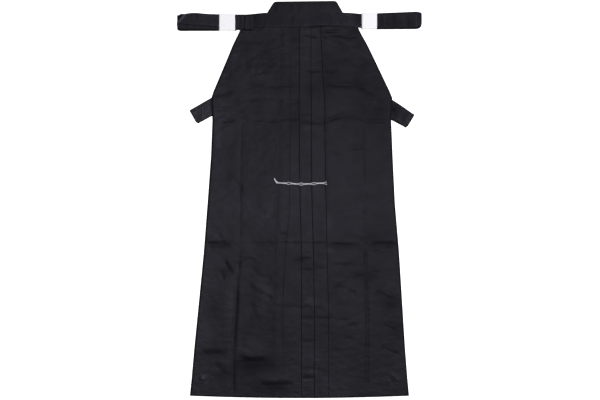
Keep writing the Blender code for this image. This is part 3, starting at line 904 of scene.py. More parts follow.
class Nodes:
    """A material's node tree, with short calls for adding and joining nodes."""

    def __init__(self, name: str) -> None:
        """Make an empty material with its output.

        Args:
            name: the material's name.
        """
        self.material = bpy.data.materials.new(name)
        self.material.use_nodes = True
        self.tree = self.material.node_tree
        self.shader = self.tree.nodes["Principled BSDF"]

    def add(self, kind: str, values: dict | None = None, **links: object) -> bpy.types.Node:
        """Add a node.

        Args:
            kind: the node's type without the ShaderNode prefix.
            values: input values by name or number, and node settings by name.
            links: sockets to join, by input name with underscores for spaces.

        Returns:
            The new node.
        """
        node = self.tree.nodes.new("ShaderNode" + kind)
        for key, value in (values or {}).items():
            if isinstance(key, int) or key in node.inputs:
                node.inputs[key].default_value = value
            else:
                setattr(node, key, value)
        for key, socket in links.items():
            self.join(socket, node.inputs[int(key[1:]) if key[0] == "_" else key.replace("_", " ")])
        return node

    def join(self, source: object, target: bpy.types.NodeSocket) -> None:
        """Join an output socket, or a node's first output, to an input."""
        self.tree.links.new(source if hasattr(source, "is_output") else source.outputs[0], target)

    def noise(self, scale: float, detail: float, roughness: float = 0.5) -> bpy.types.Node:
        """Add cloudy noise that stays with the object.

        Args:
            scale: how many clouds there are in a metre.
            detail: how many finer layers it has.
            roughness: how strong the finer layers are.

        Returns:
            The noise node.
        """
        place = self.add("TexCoord").outputs["Object"]
        return self.add("TexNoise", {"Scale": scale, "Detail": detail, "Roughness": roughness}, Vector=place)

    def times(self, first: object, second: object) -> bpy.types.Node:
        """Add the product of two values."""
        return self.add("Math", {"operation": "MULTIPLY"}, _0=first, _1=second)

    def scaled(self, value: object, by: float, plus: float) -> bpy.types.Node:
        """Add a value times a number, plus a number."""
        return self.add("Math", {"operation": "MULTIPLY_ADD", 1: by, 2: plus}, _0=value)

    def between(self, value: object, low: float, high: float) -> bpy.types.Node:
        """Spread a value from 0 to 1 over another range."""
        return self.add("MapRange", {"To Min": low, "To Max": high}, Value=value)

    def colour(self, colour: Colour, tone: bpy.types.Node) -> None:
        """Colour the material, lighter or darker by a tone."""
        shade = self.add("VectorMath", {"operation": "SCALE", 0: colour}, Scale=tone)
        self.join(shade, self.shader.inputs["Base Color"])

    def bump(self, strength: float, distance: float, **links: object) -> None:
        """Give the material its fine relief."""
        bump = self.add("Bump", {"Strength": strength, "Distance": distance}, **links)
        self.join(bump, self.shader.inputs["Normal"])

    def set(self, **values: object) -> None:
        """Set inputs of the shader, by name with underscores for spaces."""
        for name, value in values.items():
            self.shader.inputs[name.replace("_", " ")].default_value = value


@dataclass(frozen=True)
class Twill:
    """Black twill: fine diagonal ribs, a soft sheen, a little uneven dye, fold edges painted lighter as
    highlights, and painted shade and light.
    """

    name: str
    colour: Colour
    rib: float = 0.0011  # width of a rib in metres
    rib_look: tuple[float, float, float] = (0.318, 0.6, 1.0)  # waves, wandering and detail
    slant: float = 62.0  # of the ribs, in degrees
    relief: tuple[float, float] = (0.35, 0.00012)  # strength and height of ribs and slubs
    slub: tuple[float, float] = (60.0, 0.5)  # slubs in a metre, and their height in ribs
    dye: tuple[float, float, float] = (9.0, 3.0, 0.55)  # clouds in a metre, detail, roughness
    uneven: float = 0.16  # how much lighter and darker the dye gets
    fibre: tuple[float, float, float] = (420.0, 0.86, 1.14)  # specks in a metre, darkest, lightest
    fold_highlight: float = 0.15  # how much lighter a fold is painted, as a highlight
    sheen: float = 0.04
    roughness: float = 0.43
    shade_dark: float = 0.6  # how much darker painted shade makes the colour
    shade_rough: float = 0.16  # and how much rougher the cloth is made there
    specular: float = 0.056
    tint: Colour = (0.86, 0.83, 0.99)
    crumple: float = 0.0009  # metres
    crumple_size: tuple[float, float] = (48.0, 75.0)  # crumples in a metre across and along
    lightening: tuple[float, float, float] = (0.0, 1.0, 0.0)  # from x to x, and how much lighter and smoother the cloth is made towards the second

    def make(self) -> bpy.types.Material:
        """Build the material; the ribs follow the cloth's own map, which is in metres.

        Returns:
            The material.
        """
        nodes = Nodes(self.name)
        shade_and_tone = self.shade_and_tone(nodes)
        # the roughness rises where shade is painted
        nodes.join(nodes.scaled(shade_and_tone, self.shade_rough, self.roughness), nodes.shader.inputs["Roughness"])
        dyed = nodes.add(
            "MapRange",
            {"From Min": 0.3, "From Max": 0.7, "To Min": 1 - self.uneven, "To Max": 1 + self.uneven},
            Value=nodes.noise(*self.dye),
        )
        # painted highlight: the fold mark lightens the colour along pressed edges
        fold_highlight_mark = nodes.add("Attribute", {"attribute_name": "fold"})
        specks, *tones = self.fibre
        tone = nodes.times(dyed, nodes.scaled(fold_highlight_mark.outputs["Fac"], self.fold_highlight, 1.0))
        tone = nodes.times(tone, nodes.between(nodes.noise(specks, 2.0), *tones))
        # painted shade and painted light darken and lighten the colour
        tone = nodes.times(tone, nodes.scaled(shade_and_tone, -self.shade_dark, 1.0))
        nodes.colour(self.colour, tone)
        slubs, height = self.slub
        add = {"operation": "MULTIPLY_ADD", 1: height}
        weave = nodes.add("Math", add, _0=nodes.noise(slubs, 2.0), _2=self.ribs(nodes))
        nodes.bump(*self.relief, Height=weave, Normal=self.crumpled(nodes))
        nodes.set(
            Specular_IOR_Level=self.specular,
            Specular_Tint=(*self.tint, 1.0),
            Sheen_Weight=self.sheen,
            Sheen_Roughness=0.55,
            Sheen_Tint=(0.86, 0.86, 1.0, 1.0),
        )
        return nodes.material

    def shade_and_tone(self, nodes: Nodes) -> bpy.types.Node:
        """How much darker the cloth is made: its marks of painted shade and uneven tone, and a lightening
        towards +X.

        Args:
            nodes: the material's nodes.

        Returns:
            The node with its sum.
        """
        low, high, change = self.lightening
        marked = nodes.add("Attribute", {"attribute_name": "shade_and_tone"})
        aside = nodes.add("SeparateXYZ", Vector=nodes.add("TexCoord").outputs["Object"])
        ends = {"From Min": low, "From Max": high, "To Min": 0.0, "To Max": -change}
        lightened = nodes.add("MapRange", ends, Value=aside)
        return nodes.add("Math", {"operation": "ADD"}, _0=marked.outputs["Fac"], _1=lightened)

    def ribs(self, nodes: Nodes) -> bpy.types.NodeSocket:
        """The twill's diagonal ribs.

        Args:
            nodes: the material's nodes.

        Returns:
            Their height.
        """
        turned = nodes.add(
            "Mapping",
            {"Rotation": (0.0, 0.0, math.radians(self.slant)), "Scale": (1 / self.rib,) * 3},
            Vector=nodes.add("UVMap", {"uv_map": "cloth"}),
        )
        bands = {"wave_type": "BANDS", "bands_direction": "X"}
        look = dict(zip(("Scale", "Distortion", "Detail"), self.rib_look))
        return nodes.add("TexWave", {**bands, **look}, Vector=turned).outputs["Fac"]

    def crumpled(self, nodes: Nodes) -> bpy.types.Node:
        """The soft crumple of the cloth, which the ribs lie on.

        Args:
            nodes: the material's nodes.

        Returns:
            The node that bends the surface.
        """
        place = nodes.add("TexCoord").outputs["Object"]
        spread = nodes.add("Mapping", {"Scale": (*self.crumple_size, 60.0)}, Vector=place)
        soft = nodes.add("TexNoise", {"Scale": 1.0, "Detail": 2.0, "Roughness": 0.45}, Vector=spread)
        return nodes.add("Bump", {"Strength": 1.0, "Distance": self.crumple}, Height=soft)


@dataclass(frozen=True)
class Paper:
    """Plain white paper with faint fibres."""

    name: str
    colour: Colour
    roughness: float = 0.7

    def make(self) -> bpy.types.Material:
        """Build the material.

        Returns:
            The material.
        """
        nodes = Nodes(self.name)
        fibre = nodes.noise(260.0, 4.0)
        nodes.colour(self.colour, nodes.between(fibre, 0.96, 1.04))
        nodes.bump(0.2, 0.0001, Height=fibre)
        nodes.set(Roughness=self.roughness)
        return nodes.material


@dataclass(frozen=True)
class Cotton:
    """Spun cotton thread with slanted plies."""

    name: str
    colour: Colour
    roughness: float = 0.85
    sheen: float = 0.2
    specular: float = 0.5

    def make(self) -> bpy.types.Material:
        """Build the material.

        Returns:
            The material.
        """
        nodes = Nodes(self.name)
        fuzz = nodes.noise(1400.0, 3.0)
        nodes.colour(self.colour, nodes.between(fuzz, 0.8, 1.1))
        nodes.bump(0.4, 0.0001, Height=fuzz)
        nodes.set(Roughness=self.roughness, Sheen_Weight=self.sheen, Specular_IOR_Level=self.specular)
        return nodes.material


# Meshes


@dataclass
class ClothGrid:
    """A sheet of cloth as rows of stations: middle points, facings, fold marks that paint highlights, marks
    of painted shade and its own map.

    Arrays are (rows, stations, 3) or (rows, stations), in millimetres.
    """

    points: Array
    facings: Array
    fold: Array
    # painted shade and painted light, with uneven tone, one value a station
    shade_and_tone: Array | None = None

    def cloth_map(self) -> Array:
        """Distance along each row and down the rows, for patterns that follow the cloth.

        Returns:
            One pair a station, in metres.
        """
        across = np.linalg.norm(np.diff(self.points, axis=1), axis=2)
        down = np.linalg.norm(np.diff(self.points, axis=0), axis=2)
        u = np.concatenate([np.zeros((len(across), 1)), np.cumsum(across, axis=1)], axis=1)
        v = np.concatenate([np.zeros((1, down.shape[1])), np.cumsum(down, axis=0)], axis=0)
        return np.stack([u, v], axis=2) * MM

    def flat_area(self) -> float:
        """Work out the area of the cloth laid out flat.

        Returns:
            Square metres.
        """
        cloth = self.cloth_map()
        across = np.diff(cloth[:, :, 0], axis=1)
        down = np.diff(cloth[:, :, 1], axis=0)
        return float(np.sum((across[1:] + across[:-1]) / 2 * (down[:, 1:] + down[:, :-1]) / 2))

    def flat_size(self) -> tuple[float, float]:
        """Width and length of the cut, in metres."""
        cloth = self.cloth_map()
        return float(cloth[:, -1, 0].max()), float(cloth[-1, :, 1].max())

    def build(self, name: str, material: bpy.types.Material, wall: float = WALL) -> bpy.types.Object:
        """Give the sheet its thickness and make it an object.

        Args:
            name: the piece's name.
            material: its finish.
            wall: thickness of the cloth in millimetres.

        Returns:
            A closed shell with its place in its mesh.
        """
        rows, stations = self.fold.shape
        half = self.facings * wall / 2
        verts = np.concatenate([(self.points + half).reshape(-1, 3), (self.points - half).reshape(-1, 3)])
        index = np.arange(rows * stations).reshape(rows, stations)
        under = index + rows * stations
        quads = [strip(index[:-1], index[1:]), strip(under[1:], under[:-1])]
        rim = np.concatenate([index[0, :-1], index[:-1, -1], index[-1, :0:-1], index[:0:-1, 0]])
        after = np.roll(rim, -1)
        quads.append(np.stack([after, rim, rim + rows * stations, after + rows * stations], axis=1))
        faces = np.concatenate(quads)
        a, b, c = (verts[faces[0, i]] for i in range(3))
        if np.dot(np.cross(b - a, c - b), self.facings[0, 0]) < 0:
            faces = faces[:, ::-1]
        cloth = self.cloth_map().reshape(-1, 2)
        fold = self.fold.ravel()
        shade_and_tone = (self.fold * 0 if self.shade_and_tone is None else self.shade_and_tone).ravel()
        marks = {"fold": np.concatenate([fold, fold]), "shade_and_tone": np.concatenate([shade_and_tone, shade_and_tone])}
        return shell(name, verts, faces, material, np.concatenate([cloth, cloth]), marks)


def strip(low: Array, high: Array) -> Array:
    """Quads between index grids that lie next to each other."""
    return np.stack([low[:, :-1], low[:, 1:], high[:, 1:], high[:, :-1]], axis=-1).reshape(-1, 4)


def ring_faces(rings: int, count: int) -> tuple[Array, Array, Array]:
    """Four-sided faces of a piece that is made of rings, one behind the other.

    Args:
        rings: how many rings there are.
        count: how many points each one has, an even number.

    Returns:
        The faces round it, and those of its first and its last cap.
    """
    index = np.arange(rings * count).reshape(rings, count)
    closed = np.concatenate([index, index[:, :1]], axis=1)
    half = count // 2
    caps = []
    for row in (index[0], index[-1]):
        back = row[::-1]
        caps.append(np.stack([row[: half - 1], row[1:half], back[1:half], back[: half - 1]], axis=1))
    return strip(closed[:-1], closed[1:]), *caps


def headings(path: Array) -> Array:
    """Direction of a path at each of its points, as arrows of length 1."""
    tangent = np.gradient(path, axis=0)
    return tangent / np.linalg.norm(tangent, axis=1, keepdims=True)


def shell(
    name: str,
    verts: Array,
    faces: Array,
    material: bpy.types.Material,
    cloth: Array | None = None,
    marks: dict[str, Array] | None = None,
) -> bpy.types.Object:
    """Make a smooth object from points in millimetres.

    Args:
        name: the piece's name.
        verts: its points.
        faces: corner numbers, four a face.
        material: its finish.
        cloth: the cloth's own map, one pair a point.
        marks: fold marks (painted highlight) and marks of painted shade and uneven tone, by name, one value a
            point.

    Returns:
        The object, linked into the scene.
    """
    mesh = bpy.data.meshes.new(name)
    mesh.from_pydata((verts * MM).tolist(), [], faces.tolist())
    mesh.polygons.foreach_set("use_smooth", [True] * len(mesh.polygons))
    corners = np.empty(len(mesh.loops), int)
    mesh.loops.foreach_get("vertex_index", corners)
    if cloth is not None:
        mesh.uv_layers.new(name="cloth").data.foreach_set("uv", cloth[corners].ravel())
    for mark, values in (marks or {}).items():
        mesh.attributes.new(mark, "FLOAT", "POINT").data.foreach_set("value", values)
    mesh.materials.append(material)
    mesh.update()
    made = bpy.data.objects.new(name, mesh)
    bpy.context.scene.collection.objects.link(made)
    return made


def declare(
    piece: bpy.types.Object,
    replaced: Sequence[str] = (),
    grid: ClothGrid | None = None,
) -> bpy.types.Object:
    """Fasten a piece to the garment's one body and state what it is.

    Args:
        piece: the piece.
        replaced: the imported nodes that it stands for.
        grid: its cloth, if it is a sheet.

    Returns:
        The same piece.
    """
    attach(piece, "root")
    if replaced:
        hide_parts(*replaced)
    if grid is not None:
        size, area = grid.flat_size(), grid.flat_area()
        LOG.info("%s: cut %.3f x %.3f m, %.3f m2", piece.name, *size, area)
    LOG.info("%s: %d faces", piece.name, len(piece.data.polygons))
    return piece


@dataclass
class LaidSurface:
    """The upper side of pieces that are already made, for things that lie on them."""

    pieces: Sequence[bpy.types.Object]
    trees: list[BVHTree] = field(init=False)

    def __post_init__(self) -> None:
        """Read the pieces' faces."""
        self.trees = [
            BVHTree.FromPolygons([v.co for v in p.data.vertices], [f.vertices for f in p.data.polygons])
            for p in self.pieces
        ]

    def top(self, x: float, y: float) -> float:
        """Height of the highest piece at a place.

        Args:
            x: the place in millimetres.
            y: the place in millimetres.

        Returns:
            Height in millimetres; 0 where there is no piece.
        """
        start, down = Vector((x * MM, y * MM, 0.1)), Vector((0.0, 0.0, -1.0))
        hits = [tree.ray_cast(start, down)[0] for tree in self.trees]
        return max((hit.z / MM for hit in hits if hit), default=0.0)


# Legs


class Run(NamedTuple):
    """Part of every row of a panel, as (rows, stations) arrays measured from the middle outwards."""

    u: Array
    level: Array
    lean: Array
    fold: Array
    lift: Array


def side_by_side(runs: Sequence[Run]) -> Run:
    """All runs of a panel as one."""
    return Run(*(np.concatenate(part, axis=1) for part in zip(*runs)))


def leaning(lean: Array, side: Side) -> Array:
    """Facings of cloth on one side that leans over by these angles."""
    return np.stack([-side.sign * np.sin(lean), 0 * lean, np.cos(lean)], axis=2)


def near_hem(row_y: Array) -> Array:
    """How far each row follows the bow of the hem, from 0 to 1."""
    return (1 - smooth(0.0, HEM_REACH, row_y - HEM_Y))[:, None]


def flat_run(
    start: Array,
    end: Array,
    shares: Array,
    levels: tuple[float, float] = (0.0, 0.0),
    down: bool = False,
    sprung: Array | None = None,
    quick: Array | None = None,
) -> Run:
    """A run of cloth that lies flat or climbs gently.

    Args:
        start: where it starts in each row.
        end: where it ends in each row.
        shares: where its stations lie between the two.
        levels: layers below it at its start and end.
        down: whether its face looks down.
        sprung: how far each row's end springs up at a pressed fold, in millimetres.
        quick: share of each row's climb made within a few millimetres of its start.

    Returns:
        The run.
    """
    u = mix(start[:, None], end[:, None], shares[None, :])
    from_end = np.abs(end[:, None] - u)
    climb = (0.5 * shares + 0.5 * smooth(0.0, 1.0, shares))[None, :] + 0 * u
    if quick is not None:
        soon = 1 - np.exp(-np.abs(u - start[:, None]) / QUICK_CLIMB)
        climb = mix(climb, soon / soon[:, -1:], quick[:, None])
    level = mix(*levels, climb)
    lean = 0 * u + (math.pi if down else 0.0)
    if sprung is None:
        return Run(u, level, lean, 0 * u, 0 * u)
    near = np.exp(-from_end / SPRING_REACH) - np.exp(-from_end / 1.0)
    # the fold mark paints a highlight along each pressed edge
    return Run(u, level, lean, np.exp(-from_end / HIGHLIGHT_REACH), sprung[:, None] * near)


def turn_run(
    centre: Array, middle: float, half: float, outwards: bool, steps: int, rising: bool = False
) -> Run:
    """A pressed fold: half a round turn from one level to the next below or above.

    Args:
        centre: where its centre lies in each row.
        middle: level of its centre.
        half: half its height, in levels.
        outwards: whether it bulges away from the middle of the garment.
        steps: how many parts it is cut into.
        rising: whether it goes up instead of down.

    Returns:
        The run, without its two ends.
    """
    angle = (np.pi * np.arange(1, steps) / steps)[None, :] + 0 * centre[:, None]
    bulge = 1.0 if outwards else -1.0
    u = centre[:, None] + bulge * LAYER / 2 * np.sin(angle)
    # inward folds get a painted highlight along their turn
    fold = 0 * u if outwards else 0.35 + 0.65 * np.cos(angle / 2)
    if rising:
        return Run(u, middle - half * np.cos(angle), -angle, fold, 0 * u)
    lean = math.pi - angle if outwards else angle
    return Run(u, middle + half * np.cos(angle), lean, fold, 0 * u)


@dataclass
class FrontPanel:
    """A leg's front: a side panel with its press crease, and pleats pressed towards the middle."""

    side: Side
    coarse_row: float = 3.85
    fine_row: float = 2.2
    fine_at: tuple[float, ...] = (342.5, 212.0, -117.0, -401.0, -429.5, -485.0, 437.0)
    fine_reach: float = 11.0
    seam_shares: tuple[float, ...] = (0.0, 0.006, 0.013, 0.021, 0.031)  # stations near the side seam
    side_stations: int = 60
    climb_stations: int = 11  # from one pleat's fold up to the next one
    fold_stations: int = 13  # towards a fold
    under_stations: int = 4  # under a fold
    inner_stations: int = 16  # past the right leg's last fold
    tuck: float = 2.5  # the top edge lies this far under the waistband
    top_gap: float = 0.4  # and stays this far below TOP_Y
    seam_taper: float = 4.0
    rise_reach: float = 45.0  # how far below the waistband the cloth is raised by it
    wander: float = 0.7  # how far the folds stray from straight lines
    uneven: float = 0.35  # how unevenly they stand off

    def rows(self) -> Array:
        """Place the rows: close together at the creases that run across.

        Returns:
            The rows' heights on the garment.
        """
        y = np.linspace(TOP_Y, HEM_Y, 2400)
        near = sum(np.exp(-(((y - at) / self.fine_reach) ** 2)) for at in self.fine_at)
        density = 1 / self.coarse_row + (1 / self.fine_row - 1 / self.coarse_row) * np.clip(near, 0, 1)
        count = np.concatenate([[0.0], np.cumsum((density[1:] + density[:-1]) / 2 * np.abs(np.diff(y)))])
        return np.interp(np.linspace(0.0, count[-1], int(count[-1]) + 1), count, y)

    def fold_names(self) -> list[str]:
        """Names of the pleats' folds, from the outermost to the innermost."""
        names = [self.side.value + "_outer", self.side.value + "_inner"]
        return names + ["centre"] if self.side is Side.LEFT else names

    def folds(self, y: Array) -> list[Array]:
        """Centres of the pleats' folds from the outermost to the innermost.

        Args:
            y: the rows' heights on the garment.

        Returns:
            One array a fold, with its place in each row.
        """
        found = []
        for i, name in enumerate(self.fold_names()):
            drift = self.wander * wobble(y, 0 * y, 75.0, 21.3 + 5 * i + self.side.sign)
            found.append(self.side.sign * column(PLEATS, "y", name, y) + FOLD_REACH + drift)
        return found

    def springs(self, y: Array) -> list[Array]:
        """How far each fold stands off, a little uneven along its length.

        Args:
            y: the rows' heights on the garment.

        Returns:
            One array a fold, with its height in each row.
        """
        found = []
        for i, name in enumerate(self.fold_names()):
            uneven = 1 + self.uneven * wobble(y, 0 * y, 30.0, 47.3 + 5 * i + self.side.sign)
            found.append(column(SPRINGS, "y", name, y) * uneven)
        return found

    def runs(self, y: Array) -> list[Run]:
        """Fold every row to and fro, from the side seam to the panel's inner edge.

        Args:
            y: the rows' heights on the garment.

        Returns:
            The runs in their order.
        """
        edge = self.side.sign * column(EDGES, "y", self.side.value, y)
        folds = self.folds(y)
        spacing = [high - low for high, low in zip(folds, folds[1:])]
        spacing.append(spacing[-1])
        depths = [UNDERLAY_SHARE * width for width in spacing]
        start = folds[0] + depths[0] + RAMP
        *close, last_close = self.seam_shares
        further = np.linspace(last_close, 1.0, self.side_stations - len(close))
        shares = np.concatenate([close, further])
        found = [flat_run(edge, start, shares)]
        before = start
        quick = None
        flat = PRESSED_FLAT
        for i, (fold, depth, sprung) in enumerate(zip(folds, depths, self.springs(y))):
            last = self.side is Side.LEFT and i == len(folds) - 1
            climb = np.linspace(0.0, 1.0, self.climb_stations)[1:] ** (1.5 if i else 1.0)
            found.append(flat_run(before, fold + depth, climb, (0.0, 2 * flat), quick=quick))
            top = 1 - (1 - np.linspace(0.0, 1.0, self.fold_stations)[1:]) ** 1.8
            even = np.linspace(0.0, 1.0, self.under_stations)
            found.append(flat_run(fold + depth, fold, top, (2 * flat, 2.0), sprung=sprung))
            found.append(turn_run(fold, 1.5, 0.5, outwards=False, steps=6))
            found.append(flat_run(fold, fold + depth, even, (1.0, flat), down=True))
            if not last:
                found.append(turn_run(fold + depth, flat / 2, flat / 2, outwards=True, steps=4))
                found.append(flat_run(fold + depth, fold, even))
            before = fold
            quick = np.clip(sprung / 1.2, 0.0, 0.9)
        if self.side is Side.RIGHT:
            centre, inner = (column(PLEATS, "y", name, y) for name in ("centre", "left_inner"))
            under = centre + FOLD_REACH + (inner - centre) * UNDERLAY_SHARE
            inwards = np.linspace(0.0, 1.0, self.inner_stations)[1:] ** 1.3
            found.append(flat_run(before, -under, inwards))
        return found

    def grid(self) -> ClothGrid:
        """Drape the whole panel over what lies under it.

        Returns:
            The panel as rows of stations.
        """
        row_y = self.rows()
        u, level, lean, fold, lift = side_by_side(self.runs(row_y))
        x = self.side.sign * u
        seam = np.minimum(column(WAIST, "x", "seam", x) + self.tuck, TOP_Y - self.top_gap)
        at_top = (1 - smooth(0.0, WAIST_REACH, TOP_Y - row_y))[:, None]
        y = row_y[:, None] + (seam - TOP_Y) * at_top + (hem_y(x) - HEM_Y) * near_hem(row_y)
        taper = mix(0.4, 1.0, smooth(0.0, self.seam_taper, u[:, :1] - u))
        rise = waist_rise(x) * (1 - smooth(0.0, self.rise_reach, TOP_Y - row_y))[:, None]
        z = front_floor(x, y) + taper * (LOFT + front_relief(x, y)) + rise + pleat_fall(x, row_y[:, None])
        z = z + level * PLEAT_LAYER + WALL / 2 + lift
        return ClothGrid(np.stack([x, y, z], axis=2), leaning(lean, self.side), fold, shade_and_tone_of(x, y))

    def build(self, finish: bpy.types.Material) -> bpy.types.Object:
        """Make the panel.

        Args:
            finish: its cloth.

        Returns:
            The declared piece.
        """
        grid = self.grid()
        piece = grid.build(f"front_{self.side.value}_cloth", finish)
        return declare(
            piece, [f"front_{self.side.value}_leg"], grid
        )


@dataclass
class BackPanel:
    """A leg's back: flat on the surface, folded inwards along the centre back."""

    side: Side
    row: float = 6.0
    stations: int = 44
    swell: Swell = Swell(0.1, 60.0, 5.5)
    highest: float = 0.45  # its creases rise no higher, so that it stays under the front

    def grid(self) -> ClothGrid:
        """Lay the panel with its own creases, which only rise, as it lies on a flat surface.

        Returns:
            The panel as rows of stations.
        """
        sign = self.side.sign
        row_y = np.linspace(TOP_Y, HEM_Y, int((TOP_Y - HEM_Y) / self.row))
        fold = sign * (back_centre(row_y) + sign * (GAP / 2 + FOLD_REACH))
        edge = sign * back_side(row_y, self.side)
        runs = [
            flat_run(edge, fold, np.linspace(0.0, 1.0, self.stations)),
            turn_run(fold, 0.5, 0.5, outwards=False, steps=6, rising=True),
            flat_run(fold, fold + BACK_UNDERLAY, np.linspace(0.0, 1.0, 8), (1.0, 1.0), down=True),
        ]
        u, level, lean, mark, _ = side_by_side(runs)
        x = sign * u
        y = row_y[:, None] + (hem_y(x) + BACK_INSET - HEM_Y) * near_hem(row_y)
        rise = crease_height(BACK_CREASES, x, y, 40.0) + self.swell.at(x, y)
        rise = np.clip(rise, 0.0, self.highest)
        z = rise * smooth(0.0, 20.0, u[:, :1] - u) * smooth(0.0, 12.0, u - fold[:, None] - 2)
        z = z + level * LAYER + WALL / 2
        return ClothGrid(np.stack([x, y, z], axis=2), leaning(lean, self.side), mark)

    def build(self, finish: bpy.types.Material) -> bpy.types.Object:
        """Make the panel.

        Args:
            finish: its cloth.

        Returns:
            The declared piece.
        """
        grid = self.grid()
        piece = grid.build(f"back_{self.side.value}_cloth", finish)
        return declare(piece, [f"back_{self.side.value}_leg"], grid)


@dataclass
class Machi:
    """The crotch gusset between the legs."""

    rows: int = 60
    stations: int = 18
    swell: Swell = Swell(0.12, 40.0, 2.2)

    def build(self, finish: bpy.types.Material) -> bpy.types.Object:
        """Make the gusset.

        Args:
            finish: its cloth.

        Returns:
            The declared piece.
        """
        share = np.linspace(0.0, 1.0, self.rows)[:, None]
        across = np.linspace(-1.0, 1.0, self.stations)[None, :]
        y = mix(*MACHI_Y, share) + 0 * across
        x = back_centre(y) + across * mix(*MACHI_HALF, share)
        z = 2 * LAYER + WALL / 2 + self.swell.at(x, y)
        up = np.zeros((*x.shape, 3)) + (0.0, 0.0, 1.0)
        grid = ClothGrid(np.stack([x, y, z], axis=2), up, 0 * x)
        piece = grid.build("machi_cloth", finish)
        return declare(piece, ["machi"], grid)


# Waist


@dataclass
class Koshiita:
    """The stiff back board in its cloth: a trapezoid with round top corners and soft edges."""

    border: float = 2.5
    soft_edge: float = 0.25
    rounding: float = 1.0

    def build(self, finish: bpy.types.Material) -> bpy.types.Object:
        """Cut the board out of a plate, raise it, and let its cover fall off towards its edges.

        Args:
            finish: its cloth.

        Returns:
            The declared piece.
        """
        left, right, bottom = BOARD_BOTTOM
        deselect()
        bpy.ops.mesh.primitive_plane_add(size=0.5, location=(0.0, 0.5, 0.0))
        board = bpy.context.object
        board.name = board.data.name = "koshiita_cloth"
        bpy.ops.object.transform_apply(location=True, rotation=True, scale=True)
        bpy.ops.object.mode_set(mode="EDIT")
        upper_left, upper_right = zip(BOARD_TOP, BOARD_TOP_Y)
        corners = [(left, bottom), (right, bottom), upper_right, upper_left]
        for here, there in zip(corners, corners[1:] + corners[:1]):
            bpy.ops.mesh.select_all(action="SELECT")
            bpy.ops.mesh.bisect(
                plane_co=(here[0] * MM, here[1] * MM, 0.0),
                plane_no=((there[1] - here[1]) * MM, (here[0] - there[0]) * MM, 0.0),
                clear_outer=True,
            )
        pick_vertices(board, lambda co: co.y > 0.5)
        bpy.ops.mesh.bevel(offset=BOARD_CORNER * MM, segments=6, affect="VERTICES")
        bpy.ops.mesh.select_all(action="SELECT")
        bpy.ops.mesh.normals_make_consistent(inside=False)
        bpy.ops.mesh.extrude_region_move(TRANSFORM_OT_translate={"value": (0.0, 0.0, BOARD_THICKNESS * MM)})
        bpy.ops.transform.translate(value=(0.0, 0.0, -self.soft_edge * MM))
        bpy.ops.mesh.inset(thickness=self.border * MM, depth=self.soft_edge * MM)
        bpy.ops.mesh.select_all(action="SELECT")
        bpy.ops.mesh.normals_make_consistent(inside=False)
        bpy.ops.object.mode_set(mode="OBJECT")
        softened(board, self.rounding, 3)
        board.data.materials.append(finish)
        return declare(board, ["koshiita"])


def deselect() -> None:
    """Leave nothing selected."""
    bpy.ops.object.select_all(action="DESELECT")


def pick_vertices(piece: bpy.types.Object, wanted: Callable[[Vector], bool]) -> None:
    """Select, in edit mode, the vertices whose places meet a test.

    Args:
        piece: the piece in edit mode.
        wanted: the test of a place in metres.
    """
    bpy.ops.mesh.select_all(action="DESELECT")
    bpy.ops.object.mode_set(mode="OBJECT")
    for vertex in piece.data.vertices:
        vertex.select = wanted(vertex.co)
    bpy.ops.object.mode_set(mode="EDIT")
    bpy.ops.mesh.select_mode(type="VERT")


def softened(piece: bpy.types.Object, width: float, segments: int) -> None:
    """Round a piece's edges and shade it smooth.

    Args:
        piece: the piece.
        width: how wide the rounding is, in millimetres.
        segments: how many parts it has.
    """
    bpy.context.view_layer.objects.active = piece
    bevel = piece.modifiers.new("rounding", "BEVEL")
    bevel.width = width * MM
    bevel.segments = segments
    bevel.limit_method = "ANGLE"
    bevel.angle_limit = math.radians(40.0)
    bpy.ops.object.modifier_apply(modifier=bevel.name)
    deselect()
    piece.select_set(True)
    bpy.ops.object.shade_smooth_by_angle(angle=math.radians(50.0))
    deselect()


